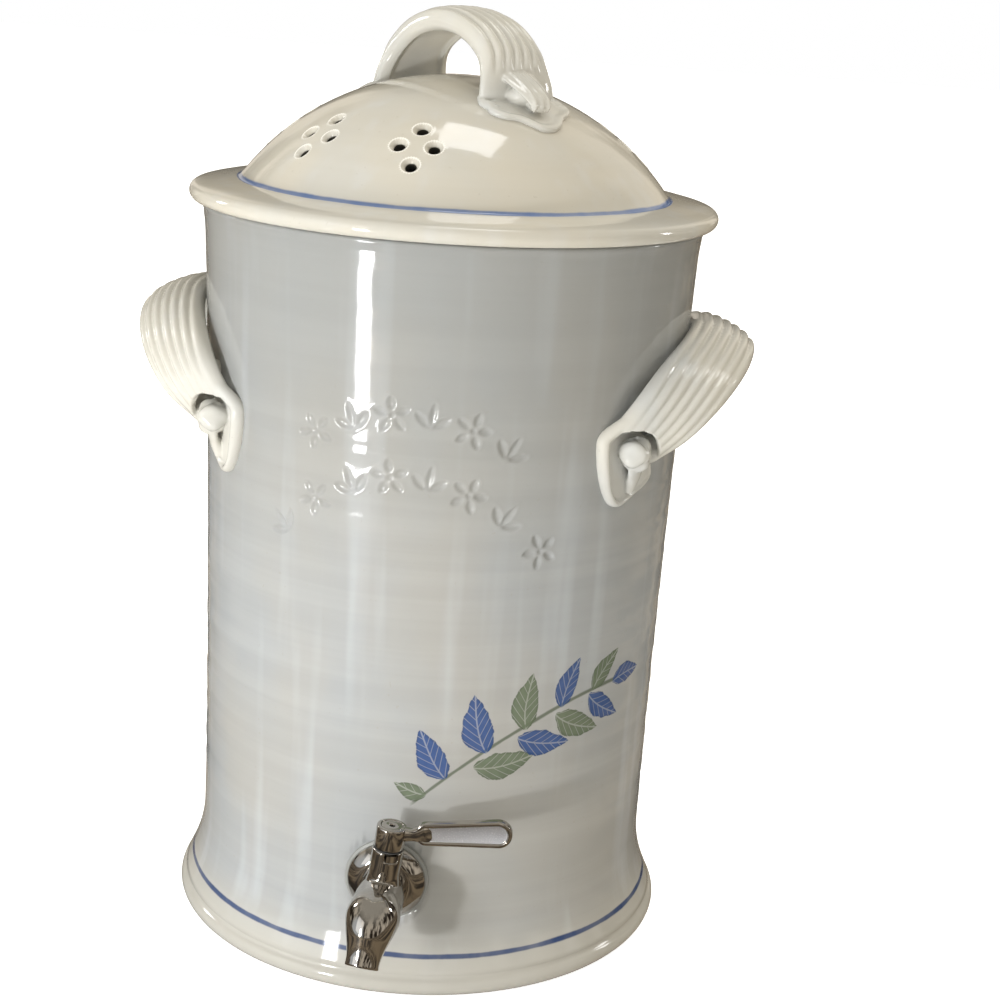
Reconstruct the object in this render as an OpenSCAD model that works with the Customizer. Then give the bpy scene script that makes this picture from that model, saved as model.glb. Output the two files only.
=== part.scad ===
// Stoneware kombucha crock with a vented lid, pulled strap handles and a lever tap.
// Millimetres, +Z up. The origin is the middle of the flat base and the tap faces -Y.
// Azimuths are measured in degrees from -Y towards +X.

/* [Crock] */
// Height from the base to the top of the rim
crock_h = 344; // [320:1:400]
// Outside diameter of the spreading foot
foot_d = 241; // [232:1:256]
// Outside diameter at the bottom of the wall
wall_low_d = 219; // [206:1:224]
// Outside diameter at the top of the wall
wall_top_d = 230; // [224:1:232]
// Outside diameter of the rim
rim_d = 234; // [231:1:240]
// Thickness of the wall
wall_t = 7; // [6:0.5:9]
// Thickness of the floor
floor_t = 9; // [6:0.5:14]
// Radius of the rounded edge of the foot
foot_edge_r = 4.5; // [3:0.5:6]
// Height at which the spreading foot has run into the wall
foot_flare_h = 46; // [36:1:50]
// Height of the flare under the rim
rim_flare_h = 18; // [12:1:28]
// Radius between the floor and the wall inside
floor_fillet = 12; // [6:1:18]

/* [Lid] */
// Diameter of the lid over its flange
lid_d = 245.6; // [242:0.2:256]
// Thickness of the lid's dome
lid_t = 6.5; // [5:0.5:8]
// Diameter of the dome where it meets the flange
dome_d = 200; // [190:1:206]
// Rise of the dome above the flange
dome_rise = 51; // [44:1:60]
// Height of the flange's top where the dome starts
flange_rise = 11; // [9:0.5:14]
// Radius of the flange's rounded edge
flange_edge_r = 3.8; // [2.5:0.1:4.4]
// Depth of the locating collar inside the rim
collar_h = 10; // [6:1:16]
// Play between the collar and the wall inside
lid_play = 1.5; // [1:0.1:3]
// Azimuth of the front end of the lid's handle
lid_az = 45; // [0:1:90]

/* [Vents] */
// Diameter of each vent hole
vent_d = 5; // [3:0.1:6]
// Diameter of the softened edge of a vent hole
vent_edge_d = 8.4; // [6.4:0.1:9.4]
// Distance of the vent groups from the lid's middle
vent_ring_r = 77; // [68:1:82]
// Half height of a group's diamond along the dome
vent_long = 11; // [8:0.5:14]
// Half width of a group's diamond
vent_wide = 7.8; // [6:0.1:10]
// Angle between neighbouring groups on one side
vent_step = 39; // [30:1:45]

/* [Lid handle] */
// Distance between the middles of the two legs
lid_handle_span = 81; // [70:1:96]
// Height of the arch above the dome's apex, to its top
lid_handle_h = 30; // [26:1:40]
// Width of the strap
lid_strap_w = 33; // [26:1:40]
// Width of the strap at its pressed ends
lid_strap_end_w = 41; // [34:1:46]
// Thickness of the strap, without its ribs
lid_strap_t = 10.5; // [8:0.5:13]

/* [Side handles] */
// Depth of the middle of the strap's ends below the rim
handle_drop = 89; // [80:1:110]
// Distance between the middles of the strap's ends
handle_span = 136; // [120:1:146]
// Length of the arch along its leaning plane
handle_rise = 52; // [46:1:60]
// Lean of the arch away from the wall
handle_lean = 44; // [36:1:48]
// Width of the strap
strap_w = 33; // [26:1:38]
// Thickness of the strap, without its ribs
strap_t = 10.5; // [8:0.5:12]
// Downward tilt of the strap across its crest
strap_tilt = 23; // [14:1:32]
// Length by which the pressed middle of an end stands back
hood_depth = 10; // [6:1:13]
// Number of ribs along a strap
rib_count = 7; // [5:1:8]
// Height of the ribs
rib_h = 1.2; // [0.6:0.1:1.8]
// Diameter of the curled tongue in each pressed end
curl_d = 13; // [10:0.5:14]
// Length of the curled tongue
curl_l = 15; // [13:0.5:17]
// Height of the raised edge round each pressed end
leaf_edge_h = 4.5; // [3:0.5:5]
// Thickness of the pressed clay inside that edge
leaf_t = 1.4; // [1:0.1:1.6]

/* [Tap] */
// Height of the tap's shank above the base
tap_h = 53; // [52:1:90]
// Lean of the tap round its shank, towards +X at the top
tap_turn = 6.5; // [-8:0.5:8]
// Diameter of the threaded shank
shank_d = 16; // [14:0.5:18]
// Diameter of the waterway
waterway_d = 9; // [7:0.5:9]
// Diameter of the shank's flange
flange_d = 36; // [32:0.5:38]
// Thickness of the shank's flange at its middle
flange_t = 6; // [5:0.5:8]
// Diameter of the outer seal
seal_d = 38.5; // [34:0.5:40]
// Thickness of each silicone seal
seal_t = 2; // [1.5:0.1:3]
// Diameter of the seal, washer and nut flats inside the wall
inner_seal_d = 30; // [28:0.5:32]
// Thickness of the steel washer
washer_t = 1.2; // [0.8:0.1:2]
// Width of the lock nut across its flats
nut_flats = 24; // [22:0.5:26]
// Thickness of the lock nut
nut_t = 7; // [5:0.5:9]
// Diameter of the barrel between flange and spout
barrel_d = 22; // [20:0.5:24]
// Length of the barrel
barrel_l = 21; // [20.5:0.5:26]
// Distance from the flange's face to the column's axis
column_reach = 11.5; // [10:0.5:12]
// Diameter of the column
column_d = 14.2; // [13.5:0.1:16]
// Height of the column's top above the shank's axis
column_h = 25; // [24:0.5:32]
// Radius of the spout's bend
spout_bend_r = 15; // [12.5:0.5:20]
// Angle through which the spout bends down
spout_bend = 62; // [50:1:75]
// Straight length at the end of the spout
spout_end_l = 13; // [8:0.5:16]
// Outside diameter at the spout's tip
spout_tip_d = 16; // [14:0.5:18]
// Outside diameter at the widest part of the spout
spout_wide_d = 24; // [22.5:0.5:26]
// Thickness of the spout's lip
spout_lip_t = 1.6; // [1.2:0.1:2.5]

/* [Valve and lever] */
// Diameter of the turning plug
plug_d = 10; // [9.4:0.1:10.4]
// Radial clearance of the plug in the column
plug_play = 0.05; // [0.02:0.01:0.09]
// Height of the lever's hub
hub_h = 10.5; // [9.5:0.5:14]
// Diameter of the lever's hub
hub_d = 13.6; // [12.5:0.1:15]
// Reach of the lever from the column's axis
lever_reach = 54; // [44:1:64]
// Rise of the lever from its hub to its tip, in degrees
lever_rise = 13; // [0:1:18]
// Height of the lever's blade near the hub
blade_low_h = 10.4; // [8:0.2:12]
// Height of the lever's blade at its tip
blade_tip_h = 12.6; // [10:0.2:15]
// Thickness of the lever's blade
blade_t = 4.6; // [3.5:0.1:6]
// Depth of the blasted panel in each face of the blade
panel_depth = 0.6; // [0.3:0.1:1]
// Width of the plain edge round the panel
panel_edge = 1.7; // [1.2:0.1:2.5]
// Diameter of the head of the lever's screw
screw_head_d = 10; // [8:0.2:10.4]
// Quarter turn from closed to open
lever_turn = 90; // [80:1:90]

/* [Hidden] */
$fn = 64;
// Gap at which fired and luted pieces lie from their seats
lute = 0.3;
// Slip clearance between assembled steel pieces
slip = 0.1;
// Length by which a cutter passes the face it cuts
past = 1;
// Depth of the flat ground for the outer seal
spot_depth = 1.8;
// Depth of the flat ground for the inner seal
inner_spot_depth = 0.2;

foot_r = foot_d / 2;
wall_low_r = wall_low_d / 2;
wall_top_r = wall_top_d / 2;
rim_r = rim_d / 2;
rim_start = crock_h - rim_flare_h;
foot_groove_h = 2 * foot_edge_r + 1.5;
foot_shelf_r = foot_r - 2.4;
flare_power = 2;
wall_power = 1.6;

lid_r = lid_d / 2;
dome_base_r = dome_d / 2;
dome_out_r = (dome_base_r * dome_base_r + dome_rise * dome_rise) / (2 * dome_rise);
dome_in_r = dome_out_r - lid_t;
dome_apex = flange_rise + dome_rise;
dome_mid = dome_apex - dome_out_r;
collar_out_r = wall_top_r - wall_t - lid_play;
collar_in_r = sqrt(dome_in_r * dome_in_r - dome_mid * dome_mid) - 0.5;
flange_mid = flange_edge_r + 1.2;

// Depth of a strap's section above and below the line through its edges
strap_up = strap_t * 0.68;
strap_down = strap_t - strap_up;
lid_strap_up = lid_strap_t * 0.48;
lid_strap_down = lid_strap_t - lid_strap_up;
lid_leg_z = dome_z(lid_handle_span / 2);
lid_arch = dome_apex + lid_handle_h - lid_strap_up - rib_h - lid_leg_z;
points_per_rib = 4;
under_points = 9;
strap_steps = 24;

handle_mid_z = crock_h - handle_drop;
handle_reach = wall_r(handle_mid_z) - 20;
end_az = atan2(handle_reach, handle_span / 2);
leaf_az = end_az + 2.6;
leaf_z = handle_mid_z - 10;
curl_az = end_az + 0.6;
curl_z = handle_mid_z - 8.5;

tap_face = wall_r(tap_h) - spot_depth;
tap_back = wall_r(tap_h) - wall_t + inner_spot_depth;
wall_grip = tap_face - tap_back;
flange_face = seal_t + flange_t;
column_y = -(flange_face + column_reach);
barrel_front = flange_face + barrel_l;
shank_l = wall_grip + seal_t + washer_t + nut_t + 4;
plug_r = plug_d / 2;
column_bore_r = plug_r + plug_play;
plug_bottom = -8;
thrust_t = 0.5;
hub_z = column_h + thrust_t;
drive_flats = 6.4;
drive_h = hub_h * 0.6;
screw_d = 4;
screw_head_t = 2;
socket_d = 2.4;
key_w = 4.6;
key_h = 3;
key_drop = 1.2;
key_z = column_h - key_drop - key_h;
key_az = -65;
key_in_r = plug_r - 1.4;
notch_w = 6.4;
o_ring_d = 1.5;
o_ring_z = [11.5, 17];

glaze = "#e4e2dc";
warm_glaze = "#e6dfd0";
steel = "#b9b4ac";
silicone = "#c9cbc8";
ptfe = "#f1f1ec";
rubber = "#2b2b2b";

// Small helpers for curves and directions
function unit(v) = v / norm(v);
function mix(a, b, t) = a + (b - a) * t;
function ramp(t) = let (s = min(max(t, 0), 1)) s * s * (3 - 2 * s);
function arc(mid, r, from, to, steps) =
    [for (i = [0 : steps]) let (a = mix(from, to, i / steps)) mid + r * [cos(a), sin(a)]];
function spline(a, b, c, d, t) =
    (2 * b + (c - a) * t + (2 * a - 5 * b + 4 * c - d) * t * t
    + (3 * b - a - 3 * c + d) * t * t * t) / 2;
function smooth_line(p, steps) = let (n = len(p) - 1)
    [for (i = [0 : n - 1], j = [0 : steps - 1])
        spline(p[max(i - 1, 0)], p[i], p[i + 1], p[min(i + 2, n)], j / steps), p[n]];
function smooth_loop(p, steps) = let (n = len(p))
    [for (i = [0 : n - 1], j = [0 : steps - 1])
        spline(p[(i + n - 1) % n], p[i], p[(i + 1) % n], p[(i + 2) % n], j / steps)];

// Outside radius of the crock at a height
function wall_r(z) =
    z < foot_flare_h
        ? wall_low_r + (foot_shelf_r - wall_low_r)
            * pow((foot_flare_h - z) / (foot_flare_h - foot_groove_h), flare_power)
        : z > rim_start
            ? wall_top_r + (rim_r - wall_top_r) * pow((z - rim_start) / rim_flare_h, 2)
            : wall_low_r + (wall_top_r - wall_low_r)
                * pow((z - foot_flare_h) / (rim_start - foot_flare_h), wall_power);
function heights(from, to, steps) = [for (i = [0 : steps]) mix(from, to, i / steps)];

// Height of the dome's outside above the rim, at a distance from the lid's axis
function dome_z(r) = dome_mid + sqrt(dome_out_r * dome_out_r - r * r);

// Turns +X to the direction with this azimuth
module at_azimuth(az) {
    rotate([0, 0, az - 90]) children();
}

// A child and its mirror image at the handle's rear end
module both_ends() {
    children();
    mirror([0, 1, 0]) children();
}

module tap_frame() {
    translate([0, -tap_face, tap_h]) rotate([0, tap_turn, 0]) children();
}

module column_frame() {
    tap_frame() translate([0, column_y, 0]) children();
}

module lid_frame() {
    translate([0, 0, crock_h]) at_azimuth(lid_az) children();
}

// A cylinder along Y from one place to another
module along_y(d, from, to) {
    translate([0, from, 0]) rotate([-90, 0, 0]) cylinder(d = d, h = to - from);
}

// A closed solid through rings of points, with a fan over each end from that end's middle
function ring_middle(ring) = [for (p = ring) 1] * ring / len(ring);
module skin(rings, first_middle, last_middle) {
    n = len(rings[0]);
    m = len(rings);
    points = [for (ring = rings) each ring, first_middle, last_middle];
    sides = [for (i = [0 : m - 2], j = [0 : n - 1]) let (k = (j + 1) % n)
        each [[i * n + j, (i + 1) * n + j, (i + 1) * n + k], [i * n + j, (i + 1) * n + k, i * n + k]]];
    starts = [for (j = [0 : n - 1]) [m * n, j, (j + 1) % n]];
    ends = [for (j = [0 : n - 1]) [m * n + 1, (m - 1) * n + (j + 1) % n, (m - 1) * n + j]];
    polyhedron(points = points, faces = concat(sides, starts, ends));
}

// A strap's section: ribbed and crowned above, plain below, as pairs of width and height
function crown(u, power) = sqrt(max(0, 1 - pow(abs(u), power)));
function strap_section(w, up, down) = let (n = rib_count * points_per_rib)
    concat(
        [for (i = [0 : n]) let (u = -1 + 2 * i / n)
            [u, w / 2 * u, up * crown(u, 2.5) + rib_h * abs(sin(180 * i / points_per_rib))
                * (abs(u) < 1 ? 1 : 0)]],
        [for (i = [1 : under_points]) let (u = 1 - 2 * i / (under_points + 1))
            [u, w / 2 * u, -down * crown(u, 5)]]);

// Outside of the crock, turned about its axis
function crock_outside() = concat(
    [[0, 0], [foot_r - foot_edge_r, 0]],
    arc([foot_r - foot_edge_r, foot_edge_r], foot_edge_r, -75, 55, 8),
    [for (z = heights(foot_groove_h, foot_flare_h, 10)) [wall_r(z), z]],
    [for (z = heights(foot_flare_h + 20, rim_start - 6, 10)) [wall_r(z), z]],
    [for (z = heights(rim_start, crock_h - 1.5, 6)) [wall_r(z), z]],
    [[rim_r - 1.2, crock_h]]);
function crock_inside() = concat(
    [[rim_r - wall_t, crock_h]],
    [for (z = heights(crock_h - 1.5, rim_start, 5)) [wall_r(z) - wall_t, z]],
    [for (z = heights(rim_start - 6, foot_flare_h, 10)) [wall_r(z) - wall_t, z]],
    arc([wall_low_r - wall_t - floor_fillet, floor_t + floor_fillet], floor_fillet, 0, -90, 6),
    [[0, floor_t]]);

module crock_body() {
    color(glaze) difference() {
        rotate_extrude($fn = 128) polygon(concat(crock_outside(), crock_inside()));
        tap_frame() {
            along_y(shank_d + 2 * slip + 0.8, -past - spot_depth, wall_grip + wall_t);
            along_y(seal_d + 3, -wall_t, 0);
            along_y(inner_seal_d + 3, wall_grip, wall_grip + wall_t);
        }
    }
}

// The side handle's arch: its middle line, its run and the direction of its width
function arch_point(a) = [handle_reach + handle_rise * sin(handle_lean) * sin(a),
    -handle_span / 2 * cos(a), handle_mid_z + handle_rise * cos(handle_lean) * sin(a)];
function arch_run(a) = unit([handle_rise * sin(handle_lean) * cos(a),
    handle_span / 2 * sin(a), handle_rise * cos(handle_lean) * cos(a)]);
function arch_width(a) = let (
    run = arch_run(a),
    end_w = [0.60, 0.69 * sign(cos(a)), -0.44],
    crest_w = [cos(strap_tilt), 0, -sin(strap_tilt)],
    w = mix(end_w, crest_w, sin(a)))
    unit(w - (w * run) * run);

// Moves a point that would enter the wall out to its seat
function off_wall(p) = let (r = norm([p.x, p.y]), least = wall_r(p.z) + lute)
    r < least ? [p.x * least / r, p.y * least / r, p.z] : p;

module side_strap() {
    section = strap_section(strap_w, strap_up, strap_down);
    hood = hood_depth / handle_rise * 180 / PI;
    rings = [for (i = [0 : strap_steps])
        [for (s = section) let (
            start = hood * (1 - s[0] * s[0]),
            a = mix(start, 180 - start, i / strap_steps),
            w = arch_width(a),
            up = cross(w, arch_run(a)))
            off_wall(arch_point(a) + s[1] * w + s[2] * up)]];
    skin(rings, ring_middle(rings[0]), ring_middle(rings[strap_steps]));
}

// A layer of clay on the wall, between two depths and two heights
module wall_layer(inner, outer, low, high) {
    zs = heights(low, high, 4);
    rotate_extrude($fn = 128) polygon(concat(
        [for (z = zs) [wall_r(z) + inner, z]],
        [for (i = [4 : -1 : 0]) [wall_r(zs[i]) + outer, zs[i]]]));
}

// Stands a flat outline of tangent and height up on the wall
module outline_on_wall(az) {
    at_azimuth(az) translate([wall_low_r - wall_t, 0, 0]) rotate([90, 0, 90])
        linear_extrude(height = rim_r - wall_low_r + 4 * wall_t) children();
}

// The leaf that the strap's end is pressed to: its raised edge, then the whole leaf
leaf_edge_line = [[-18, 12], [-20.5, 1], [-18, -12.5], [-10, -19.5], [0, -17.5], [9, -11.5], [13, -6]];
leaf_top_line = [[10, 1], [3, 8], [-8, 13]];
leaf_heart = [-5, -2];
leaf_edge_w = 5;

module leaf_edge_outline() {
    outer = smooth_line(leaf_edge_line, 5);
    n = len(outer) - 1;
    inner = [for (i = [n : -1 : 0]) let (p = outer[i])
        p + unit(leaf_heart - p) * leaf_edge_w * (0.35 + 0.65 * sin(180 * i / n))];
    polygon(concat(outer, inner));
}

module pressed_leaf() {
    low = leaf_z - 24;
    high = leaf_z + 18;
    intersection() {
        outline_on_wall(leaf_az) translate([0, leaf_z])
            polygon(smooth_loop(concat(leaf_edge_line, leaf_top_line), 5));
        wall_layer(lute, lute + leaf_t, low, high);
    }
    intersection() {
        outline_on_wall(leaf_az) translate([0, leaf_z]) leaf_edge_outline();
        wall_layer(lute, lute + leaf_edge_h, low, high);
    }
}

// A curled tongue of clay, turned about its own length, with a groove on each side of its middle
module curl() {
    half = curl_l / 2;
    r = curl_d / 2;
    rotate_extrude() polygon(concat(
        [[0, -half]],
        [for (i = [1 : 17]) let (a = -90 + 10 * i)
            [r * pow(cos(a), 0.7) - 0.35 * pow(cos(a * 6), 2), half * sin(a)]],
        [[0, half]]));
}

module wall_curl() {
    out = wall_r(curl_z) + lute + leaf_t + lute + curl_d / 2;
    at_azimuth(curl_az) translate([out, 0, curl_z]) rotate([-70, 0, 0]) curl();
}

module right_handle() {
    color(warm_glaze) side_strap();
}

module left_handle() {
    color(warm_glaze) mirror([1, 0, 0]) side_strap();
}

module right_handle_ends() {
    color(glaze) both_ends() pressed_leaf();
}

module left_handle_ends() {
    color(glaze) mirror([1, 0, 0]) both_ends() pressed_leaf();
}

module right_handle_curls() {
    color(warm_glaze) both_ends() wall_curl();
}

module left_handle_curls() {
    color(warm_glaze) mirror([1, 0, 0]) both_ends() wall_curl();
}

// Flange and collar of the lid, turned about its axis
function lid_ring() = concat(
    [[collar_in_r, -collar_h], [collar_out_r, -collar_h], [collar_out_r, 0], [rim_r - 1, 0]],
    arc([lid_r - flange_edge_r, flange_mid], flange_edge_r, -80, 75, 9),
    [[mix(dome_base_r, lid_r, 0.3), flange_rise - 0.6], [dome_base_r - 1.2, flange_rise + 0.2]]);

module vent_holes() {
    tilt = asin(vent_ring_r / dome_out_r);
    long = vent_long / dome_out_r * 180 / PI;
    wide = vent_wide / vent_ring_r * 180 / PI;
    for (side = [90, 270], group = [-1 : 1], hole = [[0, long], [0, -long], [wide, 0], [-wide, 0]])
        translate([0, 0, dome_mid]) rotate([0, 0, side + group * vent_step + hole[0]])
            rotate([0, tilt + hole[1], 0]) {
                translate([0, 0, dome_in_r - past]) cylinder(d = vent_d, h = lid_t + 2 * past);
                translate([0, 0, dome_out_r - vent_d / 4])
                    cylinder(d1 = vent_d - 0.2, d2 = vent_edge_d, h = vent_d / 4 + 0.2);
            }
}

module lid() {
    color(warm_glaze) lid_frame() difference() {
        union() {
            difference() {
                translate([0, 0, dome_mid]) sphere(r = dome_out_r, $fn = 128);
                translate([0, 0, dome_mid]) sphere(r = dome_in_r, $fn = 128);
                translate([0, 0, -2 * dome_out_r]) cylinder(r = 2 * dome_out_r, h = 2 * dome_out_r);
            }
            rotate_extrude($fn = 128) polygon(lid_ring());
        }
        vent_holes();
    }
}

// The lid handle's arch stands upright over the lid's X axis
function lid_arch_point(a) = [lid_handle_span / 2 * cos(a), 0, lid_leg_z + lid_arch * sin(a)];
function lid_arch_run(a) = unit([-lid_handle_span / 2 * sin(a), 0, lid_arch * cos(a)]);
function drop_to_dome(p) = [p.x, p.y, dome_z(norm([p.x, p.y])) + lute];
// The underside of a leg is slightly hollow, so that only its edge is seated on the dome
leg_hollow = 0.5;
function leg_middle(ring) = drop_to_dome(ring_middle(ring)) + [0, 0, leg_hollow];

module lid_handle() {
    foot_angle = 12;
    function ring(a) = let (
        run = lid_arch_run(a),
        up = cross([0, 1, 0], run),
        w = mix(lid_strap_end_w, lid_strap_w, ramp(sin(a) / 0.7)))
        [for (s = strap_section(w, lid_strap_up, lid_strap_down))
            lid_arch_point(a) + [0, s[1], 0] + s[2] * up];
    rings = [for (i = [0 : strap_steps]) ring(mix(foot_angle, 180 - foot_angle, i / strap_steps))];
    first = [for (p = ring(0)) drop_to_dome(p)];
    last = [for (p = ring(180)) drop_to_dome(p)];
    color(warm_glaze) lid_frame()
        skin(concat([first], rings, [last]), leg_middle(first), leg_middle(last));
}

lid_leaf_line = [[0, -20], [5, -21], [12, -15], [17, -8], [20, 0], [17, 8], [12, 15], [5, 21], [0, 20]];
lid_leaf_x = lid_handle_span / 2 + lid_strap_up + rib_h + 1;
lid_leaf_t = 2.4;
// Distance by which the folded tongue leans in over the leaf's root
curl_lean = 5;

// A layer of clay on the dome
module dome_layer(inner, outer) {
    translate([0, 0, dome_mid]) difference() {
        sphere(r = dome_out_r + outer, $fn = 128);
        sphere(r = dome_out_r + inner, $fn = 128);
    }
}

module both_legs() {
    children();
    rotate([0, 0, 180]) children();
}

module lid_handle_ends() {
    color(warm_glaze) lid_frame() both_legs() intersection() {
        translate([lid_leaf_x, 0, 0]) linear_extrude(height = dome_apex + lid_leaf_t)
            polygon(smooth_line(lid_leaf_line, 5));
        dome_layer(lute, lute + lid_leaf_t);
    }
}

module lid_handle_curls() {
    reach = lid_leaf_x + curl_d / 2 - curl_lean;
    tilt = asin(reach / dome_out_r);
    color(warm_glaze) lid_frame() both_legs() translate([0, 0, dome_mid]) rotate([0, tilt, 0])
        translate([0, 0, dome_out_r + 2 * lute + lid_leaf_t + curl_d / 2])
            rotate([90, 0, 0]) curl();
}

// Tap: the shank with its domed flange, clamped through the wall
module tap_shank() {
    face = flange_face;
    color(steel) tap_frame() difference() {
        union() {
            along_y(shank_d, -seal_t - past, shank_l);
            translate([0, -seal_t, 0]) rotate([90, 0, 0]) rotate_extrude() polygon(concat(
                [[0, 0], [flange_d / 2, 0], [flange_d / 2, 1]],
                [for (i = [1 : 8]) let (t = i / 8)
                    [mix(flange_d / 2, barrel_d / 2, t), mix(1, flange_t, sin(90 * t))]],
                [[0, flange_t]]));
        }
        along_y(waterway_d, -face - past, shank_l + past);
    }
}

module outer_seal() {
    color(silicone) tap_frame() difference() {
        along_y(seal_d, -seal_t, 0);
        along_y(shank_d + 2 * slip, -seal_t - past, past);
    }
}

module inner_seal() {
    color(silicone) tap_frame() difference() {
        along_y(inner_seal_d, wall_grip, wall_grip + seal_t);
        along_y(shank_d + 2 * slip, wall_grip - past, wall_grip + seal_t + past);
    }
}

module backing_washer() {
    from = wall_grip + seal_t;
    color(steel) tap_frame() difference() {
        along_y(inner_seal_d - 1, from, from + washer_t);
        along_y(shank_d + 2 * slip, from - past, from + washer_t + past);
    }
}

module lock_nut() {
    from = wall_grip + seal_t + washer_t;
    color(steel) tap_frame() difference() {
        intersection() {
            translate([0, from, 0]) rotate([-90, 0, 0])
                cylinder(d = nut_flats / cos(30), h = nut_t, $fn = 6);
            translate([0, from, 0]) rotate([-90, 0, 0]) cylinder(d1 = nut_flats / cos(30) + 2 * nut_t,
                d2 = nut_flats * 1.04, h = nut_t);
        }
        along_y(shank_d + 2 * slip, from - past, from + nut_t + past);
    }
}

// Barrel and column, with the plug's bore, the waterway and the notch for the stop key
module tap_body() {
    color(steel) tap_frame() difference() {
        union() {
            along_y(barrel_d, -barrel_front, -flange_face);
            translate([0, column_y, 0]) {
                cylinder(d = column_d, h = column_h);
                cylinder(d1 = barrel_d * 0.92, d2 = column_d, h = barrel_d / 2 + 4);
            }
        }
        along_y(waterway_d, -barrel_front - past, -flange_face + past);
        translate([0, column_y, 0]) {
            translate([0, 0, plug_bottom - slip]) cylinder(r = column_bore_r, h = column_h - plug_bottom + past);
            rotate([0, 0, key_az]) translate([0, -notch_w / 2, key_z])
                cube([column_d, notch_w, key_h + key_drop + past]);
        }
    }
}

// Spout: a tube that bends down, swells and tapers to its lip
spout_l = spout_bend_r * spout_bend * PI / 180 + spout_end_l;
function spout_turn(s) = min(s / (spout_bend_r * PI / 180), spout_bend);
function spout_point(s) = let (a = spout_turn(s), rest = max(0, s - spout_bend_r * spout_bend * PI / 180))
    [0, -barrel_front - spout_bend_r * sin(a) - rest * cos(a),
        -spout_bend_r * (1 - cos(a)) - rest * sin(a)];
function spout_out_r(t) = mix(mix(barrel_d / 2, spout_wide_d / 2, sin(90 * min(1, t / 0.3))),
    spout_tip_d / 2, ramp((t - 0.2) / 0.75));
function spout_in_r(t) = mix(waterway_d / 2, spout_tip_d / 2 - spout_lip_t, ramp(t));
function spout_ring(s, r, sides) = let (a = spout_turn(s), mid = spout_point(s))
    [for (i = [0 : sides - 1]) let (b = 360 * i / sides)
        mid + r * (cos(b) * [1, 0, 0] + sin(b) * [0, -sin(a), cos(a)])];

module spout() {
    steps = 14;
    sides = 32;
    outside = [for (i = [0 : steps]) spout_ring(spout_l * i / steps, spout_out_r(i / steps), sides)];
    inside = [for (i = [steps : -1 : 0]) spout_ring(spout_l * i / steps, spout_in_r(i / steps), sides)];
    rings = concat(outside, inside);
    m = len(rings);
    faces = [for (i = [0 : m - 1], j = [0 : sides - 1])
        let (k = (j + 1) % sides, a = i * sides, b = ((i + 1) % m) * sides)
        each [[a + j, a + k, b + k], [a + j, b + k, b + j]]];
    color(steel) tap_frame() polyhedron(points = [for (ring = rings) each ring], faces = faces);
}

// Plug that turns in the column: closed at rest, with its cross hole across the waterway
module valve_plug() {
    sweep = lever_turn + 2 * atan(key_w / 2 / key_in_r) + 16;
    color(steel) column_frame() difference() {
        union() {
            translate([0, 0, plug_bottom]) cylinder(d = plug_d, h = column_h - plug_bottom);
            translate([-drive_flats / 2, -drive_flats / 2, column_h - past])
                cube([drive_flats, drive_flats, thrust_t + drive_h + past - slip]);
        }
        rotate([0, 90, 0]) cylinder(d = waterway_d - 1, h = 2 * plug_d, center = true);
        for (z = o_ring_z) translate([0, 0, z]) rotate_extrude()
            translate([plug_r - o_ring_d - slip / 2, -o_ring_d / 2 - slip])
                square([o_ring_d + past, o_ring_d + 2 * slip]);
        rotate([0, 0, key_az - (sweep - lever_turn) / 2])
            rotate_extrude(angle = sweep) translate([key_in_r - 2 * slip, key_z - 2 * slip])
                square([plug_r, key_h + 4 * slip]);
        translate([0, 0, column_h - 1]) cylinder(d = screw_d + slip, h = hub_h);
    }
}

module plug_o_rings() {
    color(rubber) column_frame() for (z = o_ring_z) translate([0, 0, z]) rotate_extrude()
        translate([plug_r - o_ring_d / 2, 0]) circle(d = o_ring_d - slip / 2);
}

module thrust_washer() {
    color(ptfe) column_frame() translate([0, 0, column_h]) difference() {
        cylinder(d = column_d - 0.6, h = thrust_t - slip / 2);
        translate([0, 0, -past]) cylinder(r = drive_flats * 0.8, h = thrust_t + 2 * past);
    }
}

module stop_key() {
    color(steel) column_frame() rotate([0, 0, key_az]) intersection() {
        translate([key_in_r, -key_w / 2, key_z])
            cube([column_d, key_w, key_h]);
        cylinder(d = column_d - 0.8, h = column_h);
    }
}

// Outline of a blade whose round ends differ in size
function blade_outline(x1, r1, x2, r2) = let (lean = asin((r2 - r1) / (x2 - x1)))
    concat(arc([x1, 0], r1, 90 + lean, 270 - lean, 12), arc([x2, 0], r2, -90 - lean, 90 + lean, 12));

// Stands an outline of reach and height up, with its thickness across the middle plane
module upright(t) {
    rotate([90, 0, 0]) translate([0, 0, -t / 2]) linear_extrude(height = t) children();
}

module lever_arm() {
    low = blade_low_h / 2;
    tip = blade_tip_h / 2;
    near = hub_d / 2 + 4 + low;
    far = lever_reach - tip;
    difference() {
        union() {
            upright(blade_t) polygon(blade_outline(near, low, far, tip));
            upright(blade_t + 0.8) polygon(smooth_loop([[hub_d / 2 - 3, -3.4], [hub_d / 2 + 2, -2.9],
                [near - 2, 0.4 - low], [near + 3, 1.4 - low], [near + 3, low - 1.4], [near - 2, low - 0.4],
                [hub_d / 2 + 2, 2.9], [hub_d / 2 - 3, 2.7]], 5));
        }
        for (side = [-1, 1]) translate([0, side * (blade_t / 2 + past - panel_depth), 0]) upright(2 * past)
            polygon(blade_outline(near + 2.4, low - panel_edge, far, tip - panel_edge));
    }
}

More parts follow.
